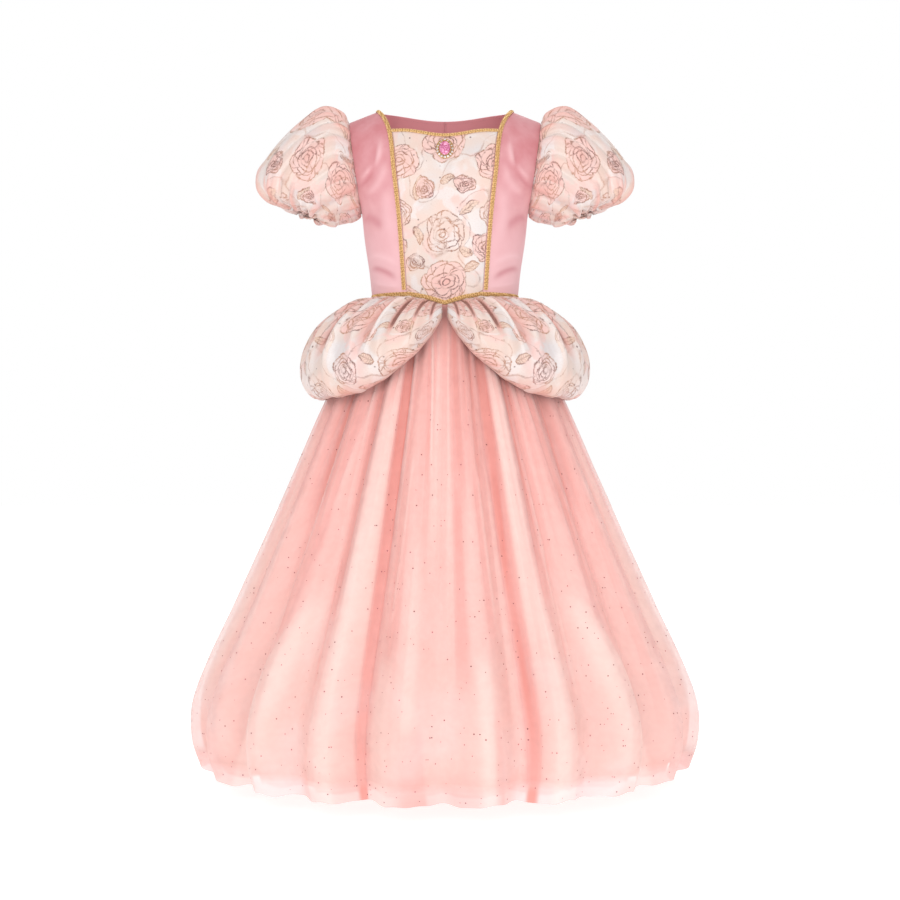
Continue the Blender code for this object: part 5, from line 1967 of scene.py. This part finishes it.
@dataclass
class DropJewel:
    """The drop-shaped stone in its gilt cup, with a ring of small crystals in claws."""

    level: float = -0.0655
    lift: float = 0.0018
    half_width: float = 0.0076
    half_height: float = 0.0106
    ring_half_width: float = 0.0122
    ring_half_height: float = 0.0151
    point: float = 0.36
    stone_height: float = 0.0052
    stone_shift: tuple[float, float, float] = (0.0, -0.0006, 0.0)
    plate_height: float = 0.0009
    cup_height: float = 0.0016
    rim_width: float = 0.0028
    collar_width: float = 0.0006
    sink: float = -0.0004
    crystals: int = 16
    crystal_radius: float = 0.0021
    crystal_height: float = 0.0011
    crystal_middle: float = 0.0016
    table_rise: float = 0.0003
    claw_radius: float = 0.00062
    claw_middle: float = 0.0021
    claw_stretch: float = -0.0010
    stone_sides: int = 14
    cup_sides: int = 36

    def outline(self, turn: float, half_width: float, half_height: float) -> tuple[float, float]:
        """A point on the drop's outline, narrowed towards its upper end."""
        narrowing = 1 - self.point * max(math.cos(turn), 0.0)
        return half_width * math.sin(turn) * narrowing, half_height * math.cos(turn)

    def blank(self, name: str, sides: int, half_width: float, half_height: float) -> Piece:
        """A flat drop-shaped face, left in edit mode.

        Args:
            name: The object's name.
            sides: How many sides it has.
            half_width: Half its width.
            half_height: Half its height.

        Returns:
            The object.
        """
        deselect()
        bpy.ops.mesh.primitive_circle_add(vertices=sides, radius=1.0, fill_type="NGON")
        made = bpy.context.object
        made.name = name
        bpy.ops.object.mode_set(mode="EDIT")
        bpy.ops.transform.resize(value=(half_width, half_height, 1.0))
        rows = sorted({round(v.co.y, 6) for v in made.data.vertices if v.co.y > 1e-6})
        for y in rows:
            pick(made, lambda co, y=y: abs(co.y - y) < 1e-6)
            bpy.ops.transform.resize(value=(1 - self.point * y / half_height, 1.0, 1.0),
                                     center_override=(0.0, 0.0, 0.0))
        bpy.ops.mesh.select_all(action="SELECT")
        return made

    def seat(self) -> Matrix:
        """Where the jewel sits on the front panel, its height along the panel's normal."""
        level, angle = np.array(self.level), np.array(0.0)
        normal = Vector(TORSO.normal(level, angle))
        place = Vector(TORSO.point(level, angle)) + normal * self.lift
        across = Vector((1, 0, 0))
        up = normal.cross(across)
        turn = Matrix((across, up, normal)).transposed().to_4x4()
        return Matrix.Translation(place) @ turn

    def close_back(self, faceted: bool = False) -> None:
        """Fills the open back of what is being modelled and leaves edit mode.

        Args:
            faceted: Whether its faces are split into triangles.
        """
        bpy.ops.mesh.select_all(action="DESELECT")
        bpy.ops.mesh.select_mode(type="EDGE")
        bpy.ops.mesh.select_non_manifold()
        bpy.ops.mesh.edge_face_add()
        bpy.ops.mesh.select_mode(type="VERT")
        bpy.ops.mesh.select_all(action="SELECT")
        if faceted:
            bpy.ops.mesh.quads_convert_to_tris(quad_method="BEAUTY", ngon_method="BEAUTY")
        bpy.ops.mesh.normals_make_consistent(inside=False)
        bpy.ops.object.mode_set(mode="OBJECT")

    def stone(self) -> Piece:
        """The faceted stone: girdle, two rows of crown facets and a flat table."""
        made = self.blank("faceted_drop_stone", self.stone_sides, self.half_width,
                          self.half_height)
        rows = ((0.42, 1.0, 0.0), (0.30, 0.80, 0.5), (0.18, 0.74, 0.5), (0.10, 0.72, 0.5))
        for rise, size, turn in rows:
            bpy.ops.mesh.extrude_region_move(
                TRANSFORM_OT_translate={"value": (0, 0, self.stone_height * rise)})
            bpy.ops.transform.resize(value=(size, size, 1.0), center_override=self.stone_shift)
            bpy.ops.transform.rotate(value=turn * 2 * math.pi / self.stone_sides,
                                     orient_axis="Z", center_override=self.stone_shift)
        self.close_back(faceted=True)
        return made

    def cup(self) -> Piece:
        """The gilt plate with a raised collar round the stone."""
        made = self.blank("gilt_crystal_setting", self.cup_sides, self.ring_half_width,
                          self.ring_half_height)
        bpy.ops.mesh.extrude_region_move(TRANSFORM_OT_translate={"value": (0, 0, self.plate_height)})
        bpy.ops.transform.resize(value=(0.96, 0.96, 1.0), center_override=(0.0, 0.0, 0.0))
        bpy.ops.mesh.inset(thickness=self.rim_width)
        bpy.ops.mesh.extrude_region_move(
            TRANSFORM_OT_translate={"value": (0, 0, self.cup_height)})
        bpy.ops.mesh.inset(thickness=self.collar_width)
        bpy.ops.mesh.extrude_region_move(TRANSFORM_OT_translate={"value": (0, 0, self.sink)})
        self.close_back()
        return made

    def crystal(self) -> Piece:
        """One small brilliant: a low cone with a bevelled table."""
        deselect()
        bpy.ops.mesh.primitive_cone_add(vertices=8, radius1=self.crystal_radius,
                                        radius2=self.crystal_radius * 0.62,
                                        depth=self.crystal_height,
                                        location=(0, 0, self.crystal_middle))
        made = bpy.context.object
        bpy.ops.object.transform_apply(location=True, rotation=True, scale=True)
        bpy.ops.object.mode_set(mode="EDIT")
        pick(made, lambda co: co.z > 0.0018)
        bpy.ops.mesh.inset(thickness=self.crystal_radius * 0.16)
        bpy.ops.transform.translate(value=(0, 0, self.table_rise))
        bpy.ops.object.mode_set(mode="OBJECT")
        return made

    def claw(self) -> Piece:
        """One rounded gilt claw between two crystals."""
        deselect()
        bpy.ops.mesh.primitive_ico_sphere_add(subdivisions=2, radius=self.claw_radius,
                                              location=(0, 0, self.claw_middle))
        made = bpy.context.object
        bpy.ops.object.transform_apply(location=True, rotation=True, scale=True)
        bpy.ops.object.mode_set(mode="EDIT")
        pick(made, lambda co: co.z < 0.0020)
        bpy.ops.transform.translate(value=(0, 0, self.claw_stretch))
        bpy.ops.object.mode_set(mode="OBJECT")
        bpy.ops.object.shade_smooth()
        return made

    def ring_of(self, model: Piece, count: int, offset: bool,
                name: str) -> Piece:
        """Copies a model round the drop and joins the copies.

        Args:
            model: What is copied, modelled at the origin.
            count: How many there are.
            offset: Whether they lie between the places of the crystals.
            name: The joined object's name.

        Returns:
            The joined object.
        """
        half_width = self.ring_half_width - self.crystal_radius - 0.0001
        half_height = self.ring_half_height - self.crystal_radius - 0.0001
        fine = [self.outline(2 * math.pi * i / 720, half_width, half_height) for i in range(721)]
        line = np.array([(x, y, 0.0) for x, y in fine])
        points, _ = spaced(line, run_along(line)[-1] / count)
        places = points[:-1]
        if offset:
            places = (places + points[1:]) / 2
        copies = []
        for place in places:
            copy = model.copy()
            copy.data = model.data.copy()
            copy.data.transform(Matrix.Translation(Vector(place)))
            bpy.context.scene.collection.objects.link(copy)
            copies.append(copy)
        deselect()
        for copy in copies:
            copy.select_set(True)
        bpy.context.view_layer.objects.active = copies[0]
        bpy.ops.object.join()
        joined = bpy.context.object
        joined.name = name
        bpy.data.objects.remove(model)
        return joined

    def settle(self, mesh: bpy.types.Mesh) -> None:
        """Puts a mesh's faces in one order, since the operators leave them in any.

        Args:
            mesh: The mesh.
        """
        smooth = mesh.polygons[0].use_smooth
        points = [tuple(vertex.co) for vertex in mesh.vertices]
        faces = []
        for face in mesh.polygons:
            corners = list(face.vertices)
            first = corners.index(min(corners))
            faces.append(corners[first:] + corners[:first])
        mesh.clear_geometry()
        mesh.from_pydata(points, [], sorted(faces))
        if smooth:
            mesh.shade_smooth()

    def finish(self, piece: Piece, finish: Finish, seat: Matrix, *nodes: str) -> None:
        """Seats a modelled piece on the panel and gives it its material and random painted glints.

        Args:
            piece: The piece, modelled flat at the origin.
            finish: What it is made of.
            seat: Where it goes.
            nodes: The solids that it replaces.
        """
        self.settle(piece.data)
        piece.data.transform(seat)
        piece.data.materials.clear()
        piece.data.materials.append(finish.material())
        # Random painted glints, one for each face.
        flashes = np.random.default_rng(SEED + 4).random(len(piece.data.polygons))
        mark(piece, "flash", "FACE", flashes)
        dress(piece, finish, *nodes)

    def build(self) -> None:
        """Builds the stone, its cup, the crystals and their claws."""
        seat = self.seat()
        stone = self.stone()
        self.finish(stone, STONE, seat, "jewel_stone")
        cup = self.cup()
        self.finish(cup, GILT, seat, "jewel_setting")
        crystals = self.ring_of(self.crystal(), self.crystals, False, "ring_of_crystals")
        self.finish(crystals, CRYSTAL, seat)
        claws = self.ring_of(self.claw(), self.crystals, True, "crystal_claws")
        self.finish(claws, GILT, seat)
        LOG.info("jewel: drop stone and %d crystals", self.crystals)


@dataclass
class Studio:
    """A plain white studio: pale floor, soft lights and the camera of the photograph."""

    distance: float = 2.5
    metres_a_pixel: float = 0.0014
    image_pixels: int = 900
    sensor_mm: float = 36.0
    centre_x: float = 0.007
    centre_z: float = -0.473
    floor_drop: float = 0.022
    ambient: float = 0.66

    def camera(self) -> None:
        """Creates the camera, level and in front of the dress."""
        data = bpy.data.cameras.new("studio_camera")
        width = self.metres_a_pixel * self.image_pixels
        data.sensor_width = self.sensor_mm
        data.lens = self.sensor_mm * self.distance / width
        data.clip_start, data.clip_end = 0.05, 60.0
        camera = bpy.data.objects.new("studio_camera", data)
        camera.location = (self.centre_x, -self.distance, self.centre_z)
        camera.rotation_euler = (math.pi / 2, 0, 0)
        bpy.context.scene.collection.objects.link(camera)
        bpy.context.scene.camera = camera

    def light(self, name: str, place: tuple[float, float, float], size: float,
              power: float) -> None:
        """Adds a soft square light that faces the dress.

        Args:
            name: Its name.
            place: Where it stands.
            size: Its width and height.
            power: Its power in watts.
        """
        data = bpy.data.lights.new(name, "AREA")
        data.shape = "SQUARE"
        data.size = size
        data.energy = power
        lamp = bpy.data.objects.new(name, data)
        lamp.location = place
        aim = Vector((0.0, 0.0, -0.42)) - Vector(place)
        lamp.rotation_mode = "QUATERNION"
        lamp.rotation_quaternion = aim.to_track_quat("-Z", "Y")
        bpy.context.scene.collection.objects.link(lamp)

    def world(self) -> None:
        """A white surround, brighter to the eye than as a light."""
        world = bpy.data.worlds.new("white_surround")
        world.use_nodes = True
        tree = world.node_tree
        tree.nodes.clear()
        seen = put(tree, "Background", "FFFFFF", 1.0)
        shed = put(tree, "Background", "FFFFFF", self.ambient)
        path = put(tree, "LightPath")
        mixed = put(tree, "MixShader", path.outputs["Is Camera Ray"], shed, seen)
        put(tree, "OutputWorld", mixed)
        bpy.context.scene.world = world

    def floor(self) -> None:
        """A wide pale floor just below the hem."""
        deselect()
        level = CAD_BOX[0].z - self.floor_drop
        bpy.ops.mesh.primitive_plane_add(size=24.0, location=(0, 0, level))
        floor = bpy.context.object
        floor.name = "pale_floor"
        paint = bpy.data.materials.new("white_studio_floor")
        paint.use_nodes = True
        shader = paint.node_tree.nodes["Principled BSDF"]
        shader.inputs["Specular IOR Level"].default_value = 0.1
        surface(paint.node_tree, shader, base_color="B8B6B6", roughness=0.9,
                emission_color="FFFFFF", emission_strength=0.80)
        floor.data.materials.append(paint)

    def build(self) -> None:
        """Builds the studio."""
        self.camera()
        self.world()
        self.floor()
        self.light("key_softbox", (-1.2, -2.9, 0.9), 1.6, 23.0)
        self.light("fill_softbox", (0.9, -2.8, -0.25), 1.3, 16.5)
        self.light("back_softbox", (0.4, 2.6, 1.4), 1.8, 20.0)
        self.light("top_softbox", (0.0, -0.4, 2.4), 1.6, 10.0)
        bpy.context.scene.view_settings.view_transform = "Standard"
        LOG.info("studio: camera, floor and four soft lights")


def main() -> None:
    """Builds the dress piece by piece."""
    logging.basicConfig(level=logging.INFO, format="%(name)s %(message)s")
    Studio().build()
    bodice = Bodice()
    bodice.build()
    Trims(GimpBraid(), bodice).build()
    PuffSleeves().build()
    skirt = Skirt()
    skirt.build()
    HipSwags().build(skirt)
    DropJewel().build()
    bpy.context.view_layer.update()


if __name__ == "__main__":
    main()
